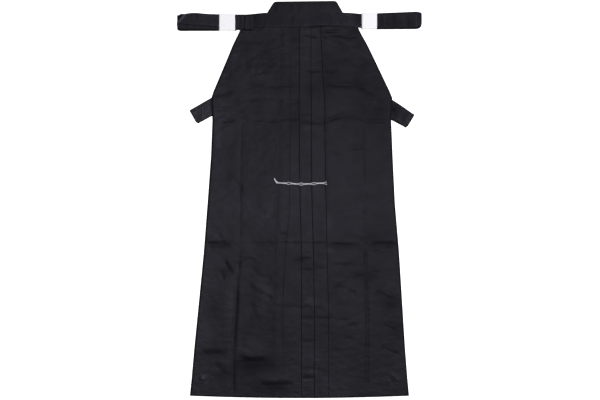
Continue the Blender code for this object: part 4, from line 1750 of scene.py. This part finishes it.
@dataclass
class Waistband:
    """The front waist strip, in which the pleats end: soft, and marked by what it covers."""

    steps: int = 170
    across: int = 16
    edge: float = 0.9  # how far in from its edges it is rounded
    imprint: float = 0.3  # height of the marks that the pleats' folds leave in it
    imprint_width: float = 3.0
    imprint_y: tuple[float, float] = (455.0, 492.0)  # over which they fade
    swell: Swell = Swell(0.12, 26.0, 6.6)
    creases: tuple[Crease, ...] = (
        Crease(-21, 462, -18, 500, 3, -0.5),
        Crease(-10, 464, -8, 500, 4, 0.2),
        Crease(5, 464, 6, 500, 2.5, -0.18),
        Crease(20, 462, 22, 500, 4, 0.2),
        Crease(40, 462, 42, 500, 3.5, -0.15),
        Crease(86, 462, 87, 500, 3, -0.45),
        Crease(102, 462, 100, 500, 4, 0.25),
        Crease(130, 464, 126, 496, 4, -0.3),
        Crease(116, 470, 142, 476, 7, 0.4),
        Crease(-112, 462, -104, 495, 6, -0.3),
    )
    # painted shade and painted light on the band: darker at -X beside the right strap's bundle, lighter over
    # much of +X, with small dark spots
    shades: tuple[ShadePatch, ...] = (
        ShadePatch(-112, 478, 22, 40, 0.85),
        ShadePatch(-66, 478, 34, 40, 0.4),
        ShadePatch(140, 467, 16, 12, 0.5),
        ShadePatch(56, 482, 56, 40, -0.6),
        ShadePatch(160, 478, 22, 40, -0.8),
        ShadePatch(-18, 484, 5, 18, 0.45),
    )

    def top(self, x: Array, y: Array) -> Array:
        """Upper face with its creases and the marks of the pleats' folds.

        Args:
            x: places in millimetres.
            y: places in millimetres.

        Returns:
            Height at each place.
        """
        low, high = column(WAIST, "x", "seam", x), column(WAIST, "x", "top", x)
        share = (y - low) / (high - low)
        marks = np.zeros(np.broadcast(x, y).shape)
        for name in Pleats._fields[1:]:
            at = column(PLEATS, "y", name, TOP_Y)
            fade = 1 - smooth(*self.imprint_y, y)
            marks = marks + self.imprint * fade * np.exp(-(((x - at) / self.imprint_width) ** 2))
        upwards = np.clip(0.7 * share + 0.3 * smooth(0.0, 1.0, share), 0, 1)
        body = mix(band_over_seam(x), band_at_edge(x), upwards)
        inner = smooth(0.0, 0.15, share) * smooth(0.0, 0.25, 1 - share)
        relief = self.swell.at(x, y) + crease_height(self.creases, x, y, 70.0)
        return body + marks + inner * relief

    def build(self, finish: bpy.types.Material) -> bpy.types.Object:
        """Make the band: rings round a soft-edged section, with a cap at each end.

        Args:
            finish: its cloth.

        Returns:
            The declared piece.
        """
        x = np.linspace(*BAND_ENDS, self.steps)[:, None]
        low, high = column(WAIST, "x", "seam", x), column(WAIST, "x", "top", x)
        quarter = np.linspace(0.0, np.pi / 2, 4)
        inset = self.edge * (1 - np.sin(quarter))[::-1]
        drop = (1 - np.cos(quarter))[::-1]
        share = np.linspace(0.0, 1.0, self.across)[None, 1:-1]
        middle = mix(low + self.edge, high - self.edge, share)
        y_top = np.concatenate([low + inset[None, :], middle, high - inset[None, ::-1]], axis=1)
        z_top = self.top(x + 0 * y_top, y_top)
        under = band_bottom(x) + 0 * y_top
        flat = 0 * share[0]
        round_top = np.concatenate([drop, flat, drop[::-1]])[None, :]
        round_top = round_top * np.minimum(self.edge, 0.6 * (z_top - under))
        z_top = z_top - round_top
        z_under = under + round_top * 0.3
        ring_y = np.concatenate([y_top, y_top[:, ::-1]], axis=1)
        ring_z = np.concatenate([z_top, z_under[:, ::-1]], axis=1)
        points = np.stack([x + 0 * ring_y, ring_y, ring_z], axis=2)
        verts = points.reshape(-1, 3)
        sides, first, last = ring_faces(*ring_y.shape)
        faces = np.concatenate([sides[:, ::-1], first, last[:, ::-1]])
        cloth = np.stack([points[:, :, 0], points[:, :, 1] + points[:, :, 2]], axis=2).reshape(-1, 2) * MM
        shade_and_tone = painted_shade(self.shades, verts[:, 0], verts[:, 1])
        piece = shell("front_waistband_cloth", verts, faces, finish, cloth, {"shade_and_tone": shade_and_tone})
        facing_out(piece)
        declare(piece, ["front_waistband"])
        return piece


def facing_out(piece: bpy.types.Object) -> None:
    """Turn all faces of a closed piece outwards.

    Args:
        piece: the piece.
    """
    mesh = bmesh.new()
    mesh.from_mesh(piece.data)
    bmesh.ops.recalc_face_normals(mesh, faces=mesh.faces)
    mesh.to_mesh(piece.data)
    mesh.free()


# Straps


@dataclass
class RearStrap:
    """A rear strap: from the board down past the slit, with its end folded back under the front."""

    side: Side
    step: float = 4.0
    across: int = 17
    width: float = 42.5
    apart: float = 0.5  # how far its two layers are askew
    corner: float = 3.0  # how far its lower corner is pulled in
    sharp: float = 0.8  # and its upper one
    corner_reach: float = 24.0
    stuffed: float = 1.4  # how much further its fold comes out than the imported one's
    puffed: float = 0.096  # how far its upper layer stands up
    swells: tuple[Swell, ...] = (Swell(0.16, 22.0, 31.0), Swell(0.3, 8.0, 33.0))
    highest: float = 0.4  # and it rises no higher
    # uneven tone
    tone_swell: Swell = Swell(0.8, 6.0, 35.0)
    # painted shade and painted light, listed by place
    shades: tuple[ShadePatch, ...] = ()

    def build(self, finish: bpy.types.Material) -> bpy.types.Object:
        """Make the strap on what it lies on.

        Args:
            finish: its cloth.

        Returns:
            The declared piece.
        """
        root, tip = (np.array(end) for end in REAR_STRAPS[self.side])
        length, *along = direction(root, tip)
        outwards = math.copysign(1.0, along[0])
        lower = np.linspace(0.0, length, int(length / self.step))
        upper = lower[lower > length - REAR_RETURN][::-1]
        angle = np.pi * np.arange(1, 6) / 6
        s = np.concatenate([lower, length + TURN * np.sin(angle), upper])
        level = np.concatenate([0 * lower, 0.5 - 0.5 * np.cos(angle), 0 * upper + 1])
        lean = np.concatenate([0 * lower, angle, 0 * upper + np.pi])
        share = np.linspace(-1.0, 1.0, self.across)[:, None]
        lower_side = -share * outwards
        corner = self.corner * smooth(0.6, 1.0, lower_side) ** 1.5
        corner = corner + self.sharp * smooth(0.8, 1.0, -lower_side)
        pull = corner * smooth(length - self.corner_reach, length, s)[None, :]
        reach = s[None, :] - pull - FOLD_REACH + self.stuffed
        askew = self.apart * (2 * level - 1) * smooth(0.0, 60.0, length - s) * outwards
        aside = share * self.width / 2 + askew[None, :]
        x = root[0] + along[0] * reach - along[1] * aside
        y = root[1] + along[1] * reach + along[0] * aside
        floor = back_height(x, y)
        if self.side is Side.LEFT:
            floor = floor + over_strap(x, y, Side.RIGHT)
        soft = (self.puffed + sum(swell.at(x, y) for swell in self.swells)) * level[None, :]
        z = floor + level[None, :] * LAYER + WALL / 2 + np.clip(soft, 0.0, self.highest)
        facing = np.stack([-along[0] * np.sin(lean), -along[1] * np.sin(lean), np.cos(lean)], axis=1)
        facings = facing[None, :, :] + np.zeros((self.across, 1, 1))
        shade_and_tone = painted_shade(self.shades, x, y) + self.tone_swell.at(x, y)
        grid = ClothGrid(np.stack([x, y, z], axis=2), facings, 0 * x, shade_and_tone)
        piece = grid.build(f"himo_rear_{self.side.value}_cloth", finish)
        return declare(piece, [f"himo_rear_{self.side.value}"], grid)


@dataclass
class FoldedStrap:
    """A front strap folded to and fro into a flat bundle beside the waistband."""

    side: Side
    wall: float = 1.15
    step: float = 2.6
    across: int = 14
    top_rise: float = 0.0  # how far the top layer's upper edge bulges near its tip
    bulge: tuple[float, float] = (0.2, 0.14)  # where it does so, and how widely, in its length
    slant: float = 0.0  # how far the top layer's upper corner leans outwards
    slant_reach: float = 22.0
    slant_from: float = 0.3  # share of its width where that starts
    corner: float = 3.0
    swell: float = 0.15  # how uneven its layers are
    ridge_height: float = 2.2  # of the ridges, against their table
    deepest: float = -0.35  # bottom of the valleys between them
    ridges: tuple[Crease, ...] = ()
    # painted shade and painted light on the top layer
    shades: tuple[ShadePatch, ...] = ()
    # painted highlights along pressed edges, carried in the fold mark
    shines: tuple[Shine, ...] = ()

    def layer_run(self, i: int, layer: FoldedLayer) -> tuple[Array, Array, Array, Array]:
        """One layer from its tip to its inner end.

        Args:
            i: its number from below.
            layer: its sizes.

        Returns:
            X, height, and the lower and upper edges along it.
        """
        turn = FOLDED_LAYER / 2
        inwards = math.copysign(1.0, layer.inner - layer.tip)
        reach = abs(layer.inner - layer.tip) - 2 * (turn + self.wall / 2)
        s = np.linspace(0.0, 1.0, max(int(reach / self.step), 10))
        t = mix(s, 0.5 - 0.5 * np.cos(np.pi * s), 0.75)
        top = i == len(FOLDED_STRAPS[self.side]) - 1
        bump = self.top_rise * np.exp(-(((t - self.bulge[0]) / self.bulge[1]) ** 2)) * top
        off = np.clip(1 - reach * t / self.corner, 0.0, 1.0)
        rounded = self.corner * (1 - np.sqrt(1 - off**2))
        low = mix(layer.tip_low, layer.inner_low, t) + rounded
        high = mix(layer.tip_high, layer.inner_high, t) + bump - 0.5 * rounded
        x = layer.tip + inwards * (turn + self.wall / 2 + reach * t)
        return x, PAPER + GAP + (i + 0.5) * FOLDED_LAYER + 0 * t, low, high

    def middle_line(self) -> tuple[Array, ...]:
        """The strap's way through all its layers and turns.

        Returns:
            X, height, lower edge, upper edge and layer number along it.
        """
        layers = FOLDED_STRAPS[self.side]
        to_inner = self.side is Side.RIGHT
        turn = FOLDED_LAYER / 2
        columns: list[tuple[Array, ...]] = []
        for i, layer in enumerate(layers):
            inwards = math.copysign(1.0, layer.inner - layer.tip)
            x, z, low, high = self.layer_run(i, layer)
            if not to_inner:
                x, z, low, high = x[::-1], z[::-1], low[::-1], high[::-1]
            columns.append((x, z, low, high, 0 * x + i))
            if i < len(layers) - 1:
                out = inwards if to_inner else -inwards
                angle = np.pi * np.arange(1, 5) / 5
                after = self.layer_run(i + 1, layers[i + 1])
                at = -1 if to_inner else 0
                columns.append((
                    x[-1] + out * turn * np.sin(angle),
                    PAPER + GAP + (i + 1) * FOLDED_LAYER - turn * np.cos(angle),
                    0 * angle + (low[-1] + after[2][at]) / 2,
                    0 * angle + (high[-1] + after[3][at]) / 2,
                    0 * angle + i + 0.5,
                ))
            to_inner = not to_inner
        return tuple(np.concatenate(part) for part in zip(*columns))

    def build(self, finish: bpy.types.Material) -> bpy.types.Object:
        """Make the strap as one band that turns at the end of each layer.

        Args:
            finish: its cloth.

        Returns:
            The declared piece.
        """
        x, z, low, high, number = self.middle_line()
        share = np.linspace(0.0, 1.0, self.across)[:, None]
        y = mix(low[None, :], high[None, :], share)
        last = len(FOLDED_STRAPS[self.side]) - 1
        on_top = np.clip(number - last + 1, 0.0, 1.0)[None, :]
        tip = FOLDED_STRAPS[self.side][-1].tip
        near = np.exp(-(((x - tip) / self.slant_reach) ** 2)) * np.clip(number - last + 1.5, 0.0, 1.0)
        slant = np.clip((share - self.slant_from) / (1 - self.slant_from), 0.0, 1.0) * near[None, :]
        x = x[None, :] - math.copysign(self.slant, tip) * slant
        sag = self.swell * wobble(x, y + 7 * z[None, :], 16.0, 50.0 + self.side.sign)
        relief = on_top * np.maximum(self.ridge_height * crease_height(self.ridges, x, y, 90.0), self.deepest)
        points = np.stack([x, y, z[None, :] + sag + relief], axis=2)
        tangent = np.gradient(points, axis=1)
        tangent[:, :, 1] = 0.0
        tangent /= np.maximum(np.linalg.norm(tangent, axis=2, keepdims=True), 1e-9)
        facings = np.stack([-tangent[:, :, 2], 0 * y, tangent[:, :, 0]], axis=2)
        # painted highlight: the shines go into the fold mark, which lightens the colour
        painted_highlight = sum(s.strength * on_top * s.near(x, y) for s in self.shines) + 0 * y
        grid = ClothGrid(points, facings, painted_highlight, painted_shade(self.shades, x, y) + 0 * y)
        piece = grid.build(f"himo_front_{self.side.value}_cloth", finish, self.wall)
        return declare(piece, [f"himo_front_{self.side.value}"], grid)


@dataclass
class PaperBand:
    """A strip of paper wrapped round a folded strap, its ends glued over each other underneath."""

    side: Side
    thickness: float = 0.35
    corner: float = 2.4
    overlap: float = 3.0  # how far its end goes past the middle of the underside, on top of its start
    around: int = 90
    across: int = 14
    give: float = 0.12  # how uneven the paper is

    def outline(self, inset: float) -> Array:
        """Lead the strip round the strap.

        Args:
            inset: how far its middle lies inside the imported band's outside.

        Returns:
            (y, z) points from the middle of the underside.
        """
        size = PAPER_SIZES[self.side]
        top = 2 * (PAPER + GAP) + len(FOLDED_STRAPS[self.side]) * FOLDED_LAYER
        low, high, under, over = size.low_y + inset, size.high_y - inset, inset, top - inset
        radius = self.corner
        middle = (low + high) / 2
        path = [(middle + 2 * self.overlap, under + 0.45), (middle + self.overlap, under + 0.4)]
        path += [(middle - 6.0 * k, under) for k in range(4) if middle - 6.0 * k > low + radius]
        arcs = (
            (low + radius, under + radius, -90.0),
            (low + radius, over - radius, 180.0),
            (high - radius, over - radius, 90.0),
            (high - radius, under + radius, 0.0),
        )
        for y, z, start in arcs:
            angles = np.radians(start - np.linspace(0.0, 90.0, 6))
            path += [(y + radius * math.cos(a), z + radius * math.sin(a)) for a in angles]
        path += [(middle + self.overlap, under), (middle - 1.0, under)]
        return np.array(path)

    def build(self, finish: bpy.types.Material) -> bpy.types.Object:
        """Make the strip.

        Args:
            finish: its paper.

        Returns:
            The declared piece.
        """
        size = PAPER_SIZES[self.side]
        path = self.outline(PAPER / 2)
        run = np.concatenate([[0.0], np.cumsum(np.hypot(*np.diff(path, axis=0).T))])
        even = np.linspace(0.0, run[-1], self.around)
        yz = np.stack([np.interp(even, run, path[:, 0]), np.interp(even, run, path[:, 1])], axis=1)
        tangent = headings(yz)
        x = np.linspace(size.low_x, size.high_x, self.across)[:, None]
        give = self.give * wobble(x + 0 * even[None, :], even[None, :] + 0 * x, 14.0, 90.0 + self.side.sign)
        out = np.stack([-tangent[:, 1], tangent[:, 0]], axis=1)
        y = yz[None, :, 0] + give * out[None, :, 0] + 0 * x
        z = np.maximum(yz[None, :, 1] + give * out[None, :, 1], 0.2)
        facings = np.stack([0 * out[:, 0], out[:, 0], out[:, 1]], axis=1) + np.zeros((self.across, 1, 1))
        grid = ClothGrid(np.stack([x + 0 * y, y, z], axis=2), facings, 0 * y)
        piece = grid.build(f"paper_band_{self.side.value}_strip", finish, self.thickness)
        facing_out(piece)
        return declare(piece, [f"paper_band_{self.side.value}"])


# Sewing


def tube(path: Array, radius: float, sides: int = 6) -> tuple[Array, Array]:
    """A round tube along a path, closed at both ends.

    Args:
        path: its middle line in millimetres.
        radius: its radius.
        sides: corners of its section.

    Returns:
        Its points and its four-sided faces.
    """
    tangent = headings(path)
    side = np.cross(tangent, (0.0, 0.0, 1.0))
    side /= np.maximum(np.linalg.norm(side, axis=1, keepdims=True), 1e-6)
    up = np.cross(side, tangent)
    turn = 2 * np.pi * np.arange(sides) / sides
    size = np.full(len(path), radius)
    size[[0, -1]] *= 0.35
    rings = path[:, None] + size[:, None, None] * (
        np.cos(turn)[None, :, None] * side[:, None] + np.sin(turn)[None, :, None] * up[:, None]
    )
    return rings.reshape(-1, 3), np.concatenate(ring_faces(len(path), sides))


def joined(parts: Sequence[tuple[Array, Array]]) -> tuple[Array, Array]:
    """Several sets of points and faces as one.

    Args:
        parts: points and faces of each.

    Returns:
        All points and all faces.
    """
    starts = np.cumsum([0] + [len(points) for points, _ in parts[:-1]])
    return (
        np.concatenate([points for points, _ in parts]),
        np.concatenate([faces + start for start, (_, faces) in zip(starts, parts)]),
    )


@dataclass
class BastingThread:
    """The tacking thread across the pleats: two cords of two twisted yarns, with a knot and a tail."""

    line: Path = (
        (-58.8, 44.8), (-54.6, 44.0), (-38.8, 43.6), (-32.5, 42.7), (-24.5, 42.9), (-9.5, 41.3),
        (9.0, 40.8), (27.0, 41.6), (41.0, 42.3), (54.5, 43.4), (73.0, 43.2),
    )
    tail: Path = ((-60.0, 44.5), (-63.0, 48.0), (-65.5, 52.5), (-67.0, 56.5))
    eyes: tuple[float, ...] = (-28.4, 3.8, 38.2, 70.5)  # where the two cords lie open
    yarn: float = 0.68
    pitch: float = 4.4
    twist: float = 0.42  # how far a yarn lies off the middle of its cord, in yarns
    stand: float = 0.765  # how high the middle of a cord lies, in yarns
    apart: float = 0.62
    open_by: float = 2.5
    eye_half: float = 4.8
    sway: float = 0.25
    step: float = 0.7
    tail_apart: float = 0.75
    tail_steps: int = 22
    knot: tuple[float, float] = (-60.2, 45.2)
    knot_foot: tuple[float, float] = (-60.0, 45.0)
    knot_size: tuple[float, float, float] = (1.5, 2.2, 0.8)
    knot_rise: float = 1.4
    knot_turns: float = 3.2

    def cord(self, middle: Array) -> list[tuple[Array, Array]]:
        """Twist two yarns round a middle line.

        Args:
            middle: its points in millimetres.

        Returns:
            Points and faces of each yarn.
        """
        run = np.concatenate([[0.0], np.cumsum(np.linalg.norm(np.diff(middle, axis=0), axis=1))])
        up = np.array([0.0, 0.0, 1.0])
        side = np.cross(np.gradient(middle, axis=0), up)
        side /= np.linalg.norm(side, axis=1, keepdims=True)
        parts = []
        for start in (0.0, np.pi):
            phase = 2 * np.pi * run / self.pitch + start
            round_it = np.cos(phase)[:, None] * side + np.sin(phase)[:, None] * up
            parts.append(tube(middle + self.twist * self.yarn * round_it, self.yarn / 2))
        return parts

    def build(self, finish: bpy.types.Material, surface: LaidSurface) -> bpy.types.Object:
        """Lay the thread.

        Args:
            finish: its cotton.
            surface: what it lies on.

        Returns:
            The declared piece.
        """
        x = np.arange(self.line[0][0], self.line[-1][0], self.step)
        y = np.interp(x, *zip(*self.line)) + self.sway * wobble(x, 0 * x, 9.0, 77.0)
        eye = sum(np.exp(-(((x - at) / self.eye_half) ** 2)) for at in self.eyes)
        parts = []
        for sign in (-1.0, 1.0):
            parts += self.cord(self.laid(x, y + sign * (self.apart + self.open_by * eye), surface))
        along = np.linspace(0.0, 1.0, self.tail_steps)
        shares = np.linspace(0.0, 1.0, len(self.tail))
        tail_x, tail_y = (np.interp(along, shares, places) for places in zip(*self.tail))
        for aside in (-self.tail_apart, self.tail_apart):
            parts += self.cord(self.laid(tail_x + aside, tail_y, surface))
        parts.append(self.tied(surface.top(*self.knot_foot) + self.knot_rise))
        verts, faces = joined(parts)
        piece = shell("basting_thread", verts, faces, finish)
        facing_out(piece)
        return declare(piece)

    def tied(self, z: float) -> tuple[Array, Array]:
        """Wind the knot.

        Args:
            z: height of its middle.

        Returns:
            Its points and faces.
        """
        turn = np.linspace(0.0, 2 * np.pi * self.knot_turns, 84)
        x, y = self.knot
        long, wide, high = self.knot_size
        path = [x + long * np.cos(turn), y + wide * np.sin(turn), z + high * np.sin(1.5 * turn)]
        return tube(np.stack(path, axis=1), self.yarn / 2)

    def laid(self, x: Array, y: Array, surface: LaidSurface) -> Array:
        """Lay a line on the surface, pulled straight over its gaps.

        Args:
            x: the line's places in millimetres.
            y: the line's places in millimetres.
            surface: what it lies on.

        Returns:
            Its points.
        """
        z = np.array([surface.top(a, b) for a, b in zip(x, y)])
        for blend in (np.max, np.mean):
            padded = np.pad(z, THREAD_SPAN, mode="edge")
            z = blend([padded[i : i + len(z)] for i in range(2 * THREAD_SPAN + 1)], axis=0)
        return np.stack([x, y, z + self.stand * self.yarn], axis=1)


STITCHED: tuple[tuple[str, str, tuple[Path, ...]], ...] = (
    ("board_stitches", "board_cloth", (
        ((-82.0, 499.0), (-68.0, 521.0)),
        ((-64.0, 523.5), (94.0, 525.3)),
        ((99.0, 521.0), (112.0, 499.0)),
    )),
    ("waistband_stitches", "cloth", (
        ((-118.0, 492.0), (-95.0, 494.6), (55.0, 496.0), (120.0, 495.2), (162.0, 492.4)),
        ((-118.0, 460.4), (-95.0, 461.4), (0.0, 463.2), (55.0, 466.4), (120.0, 465.2), (162.0, 459.4)),
    )),
    ("opening_stitches", "cloth", (
        ((-159.0, 445.0), (-189.5, 372.0), (-225.0, 287.0), (-229.5, 266.0)),
        ((159.5, 445.0), (195.5, 372.0), (236.0, 287.0), (242.0, 266.0)),
    )),
)


@dataclass
class Topstitching:
    """Black machine stitches: one small stitch, copied along lines on finished pieces."""

    name: str
    slot: str
    lines: tuple[Path, ...]
    length: float = 2.3
    pitch: float = 3.1
    thread: float = 0.42
    rise: float = 0.16
    dip: float = 0.32

    def stitch(self) -> tuple[Array, Array]:
        """Make one stitch along X: a short thread that dips at both ends.

        Returns:
            Its points and faces.
        """
        x = np.linspace(-0.5, 0.5, 6) * self.length
        z = self.rise - self.dip * (2 * x / self.length) ** 4
        return tube(np.stack([x, 0 * x, z], axis=1), self.thread / 2, 4)

    def build(self, finish: bpy.types.Material, surface: LaidSurface) -> bpy.types.Object:
        """Copy the stitch along every line.

        Args:
            finish: the thread's cotton.
            surface: what it is sewn on.

        Returns:
            The declared piece.
        """
        points, faces = self.stitch()
        along, aside, up = points.T
        parts = []
        for start, end in (pair for line in self.lines for pair in zip(line, line[1:])):
            length, run, rise = direction(start, end)
            turned = np.stack([along * run - aside * rise, along * rise + aside * run, up], axis=1)
            for k in range(int(length / self.pitch)):
                s = (k + 0.5) * self.pitch
                x, y = start[0] + run * s, start[1] + rise * s
                parts.append((turned + np.array([x, y, surface.top(x, y)]), faces))
        verts, quads = joined(parts)
        piece = shell(self.name, verts, quads, finish)
        facing_out(piece)
        return declare(piece)


# Studio


@dataclass
class Studio:
    """A white surface, soft light from the upper right, and a camera straight above."""

    aim: tuple[float, float] = (1.2, -1.47)  # what the camera looks at, in millimetres
    height: float = 5.0  # and from how high, in metres
    lens: float = 112.5
    surface_glow: float = 0.75
    fill: float = 0.10
    key: float = 142.0
    key_size: float = 1.3
    key_from: tuple[float, float, float] = (0.22, 0.12, 4.0)
    side: float = 55.0
    side_size: float = 0.8
    side_from: tuple[float, float, float] = (3.0, 1.5, 1.7)

    def build(self) -> None:
        """Set the surface, the lights and the camera."""
        self.make_surface()
        self.make_lights()
        self.make_camera()

    def make_surface(self) -> None:
        """Lay a plain white surface, a hair under the garment."""
        deselect()
        bpy.ops.mesh.primitive_plane_add(size=14.0, location=(0.0, 0.0, -0.0001))
        plane = bpy.context.object
        plane.name = "surface"
        nodes = Nodes("white surface")
        tone = nodes.between(nodes.noise(3.0, 2.0), 0.80, 0.82)
        nodes.join(tone, nodes.shader.inputs["Base Color"])
        nodes.set(Roughness=0.9, Specular_IOR_Level=0.1)
        nodes.set(Emission_Color=(1.0, 1.0, 1.0, 1.0), Emission_Strength=self.surface_glow)
        plane.data.materials.append(nodes.material)

    def make_lights(self) -> None:
        """Hang an even white surround, a soft light overhead and one from the side."""
        world = bpy.data.worlds.new("surround")
        bpy.context.scene.world = world
        world.use_nodes = True
        background = world.node_tree.nodes["Background"]
        background.inputs["Color"].default_value = (1.0, 1.0, 1.0, 1.0)
        background.inputs["Strength"].default_value = self.fill
        for name, energy, size, place in (
            ("key", self.key, self.key_size, self.key_from),
            ("side", self.side, self.side_size, self.side_from),
        ):
            light = bpy.data.lights.new(name, "AREA")
            light.shape = "DISK"
            light.size = size
            light.energy = energy
            lamp = bpy.data.objects.new(name, light)
            lamp.location = place
            lamp.rotation_euler = (-Vector(place)).to_track_quat("-Z", "Y").to_euler()
            bpy.context.scene.collection.objects.link(lamp)

    def make_camera(self) -> None:
        """Set a long lens high above the middle."""
        data = bpy.data.cameras.new("camera")
        data.sensor_width = 36.0
        data.lens = self.lens
        data.clip_end = 50.0
        camera = bpy.data.objects.new("camera", data)
        camera.location = (self.aim[0] * MM, self.aim[1] * MM, self.height)
        bpy.context.scene.collection.objects.link(camera)
        bpy.context.scene.camera = camera
        bpy.context.scene.view_settings.view_transform = "Standard"


def main() -> None:
    """Dress the garment piece by piece, then set the studio."""
    logging.basicConfig(level=logging.INFO, format="%(name)s: %(message)s")
    cloth = Twill("black twill", (0.0046, 0.0043, 0.0064)).make()
    inside = Twill("black twill, inside", (0.0046, 0.0043, 0.0064)).make()
    # The board's copy of the twill is darker than the legs', and the waistband's and the straps' copies are
    # lighter.
    board_cloth = Twill(
        "black twill on the board", (0.0039, 0.0036, 0.0053), crumple=0.0011, crumple_size=(80.0, 16.0),
        lightening=(-0.06, 0.09, 0.2),
    ).make()
    band_cloth = Twill(
        "black twill of the waistband", (0.0074, 0.0069, 0.0098), crumple=0.0011, crumple_size=(80.0, 22.0),
        roughness=0.41, shade_rough=0.08,
    ).make()
    strap_cloth = Twill(
        "black strap twill", (0.0054, 0.0050, 0.0073), rib=0.0009, crumple=0.0012, crumple_size=(78.0, 24.0)
    ).make()
    paper = Paper("white paper", (0.78, 0.77, 0.80)).make()
    white_thread = Cotton("white cotton", (0.80, 0.77, 0.86)).make()
    black_thread = Cotton("black cotton", (0.0060, 0.0056, 0.0078), sheen=0.0, specular=0.28).make()

    fronts = [FrontPanel(side).build(cloth) for side in Side]
    for side in Side:
        BackPanel(side).build(inside)
    Machi().build(inside)
    board = Koshiita().build(board_cloth)
    band = Waistband().build(band_cloth)
    for side in Side:
        RearStrap(side, apart=REAR_STRAP_APART[side], shades=REAR_STRAP_SHADES[side]).build(strap_cloth)
        PaperBand(side).build(paper)
    FoldedStrap(
        Side.RIGHT, top_rise=2.6, slant=16.0, ridges=RIGHT_STRAP_RIDGES, shades=RIGHT_STRAP_SHADES,
        shines=RIGHT_STRAP_SHINES,
    ).build(strap_cloth)
    FoldedStrap(Side.LEFT, corner=12.0, ridges=LEFT_STRAP_RIDGES, shades=LEFT_STRAP_SHADES).build(strap_cloth)
    BastingThread().build(white_thread, LaidSurface(fronts))
    for name, slot, lines in STITCHED:
        Topstitching(name, slot, lines).build(black_thread, LaidSurface([board, band, *fronts]))
    Studio().build()


if __name__ == "__main__":
    main()
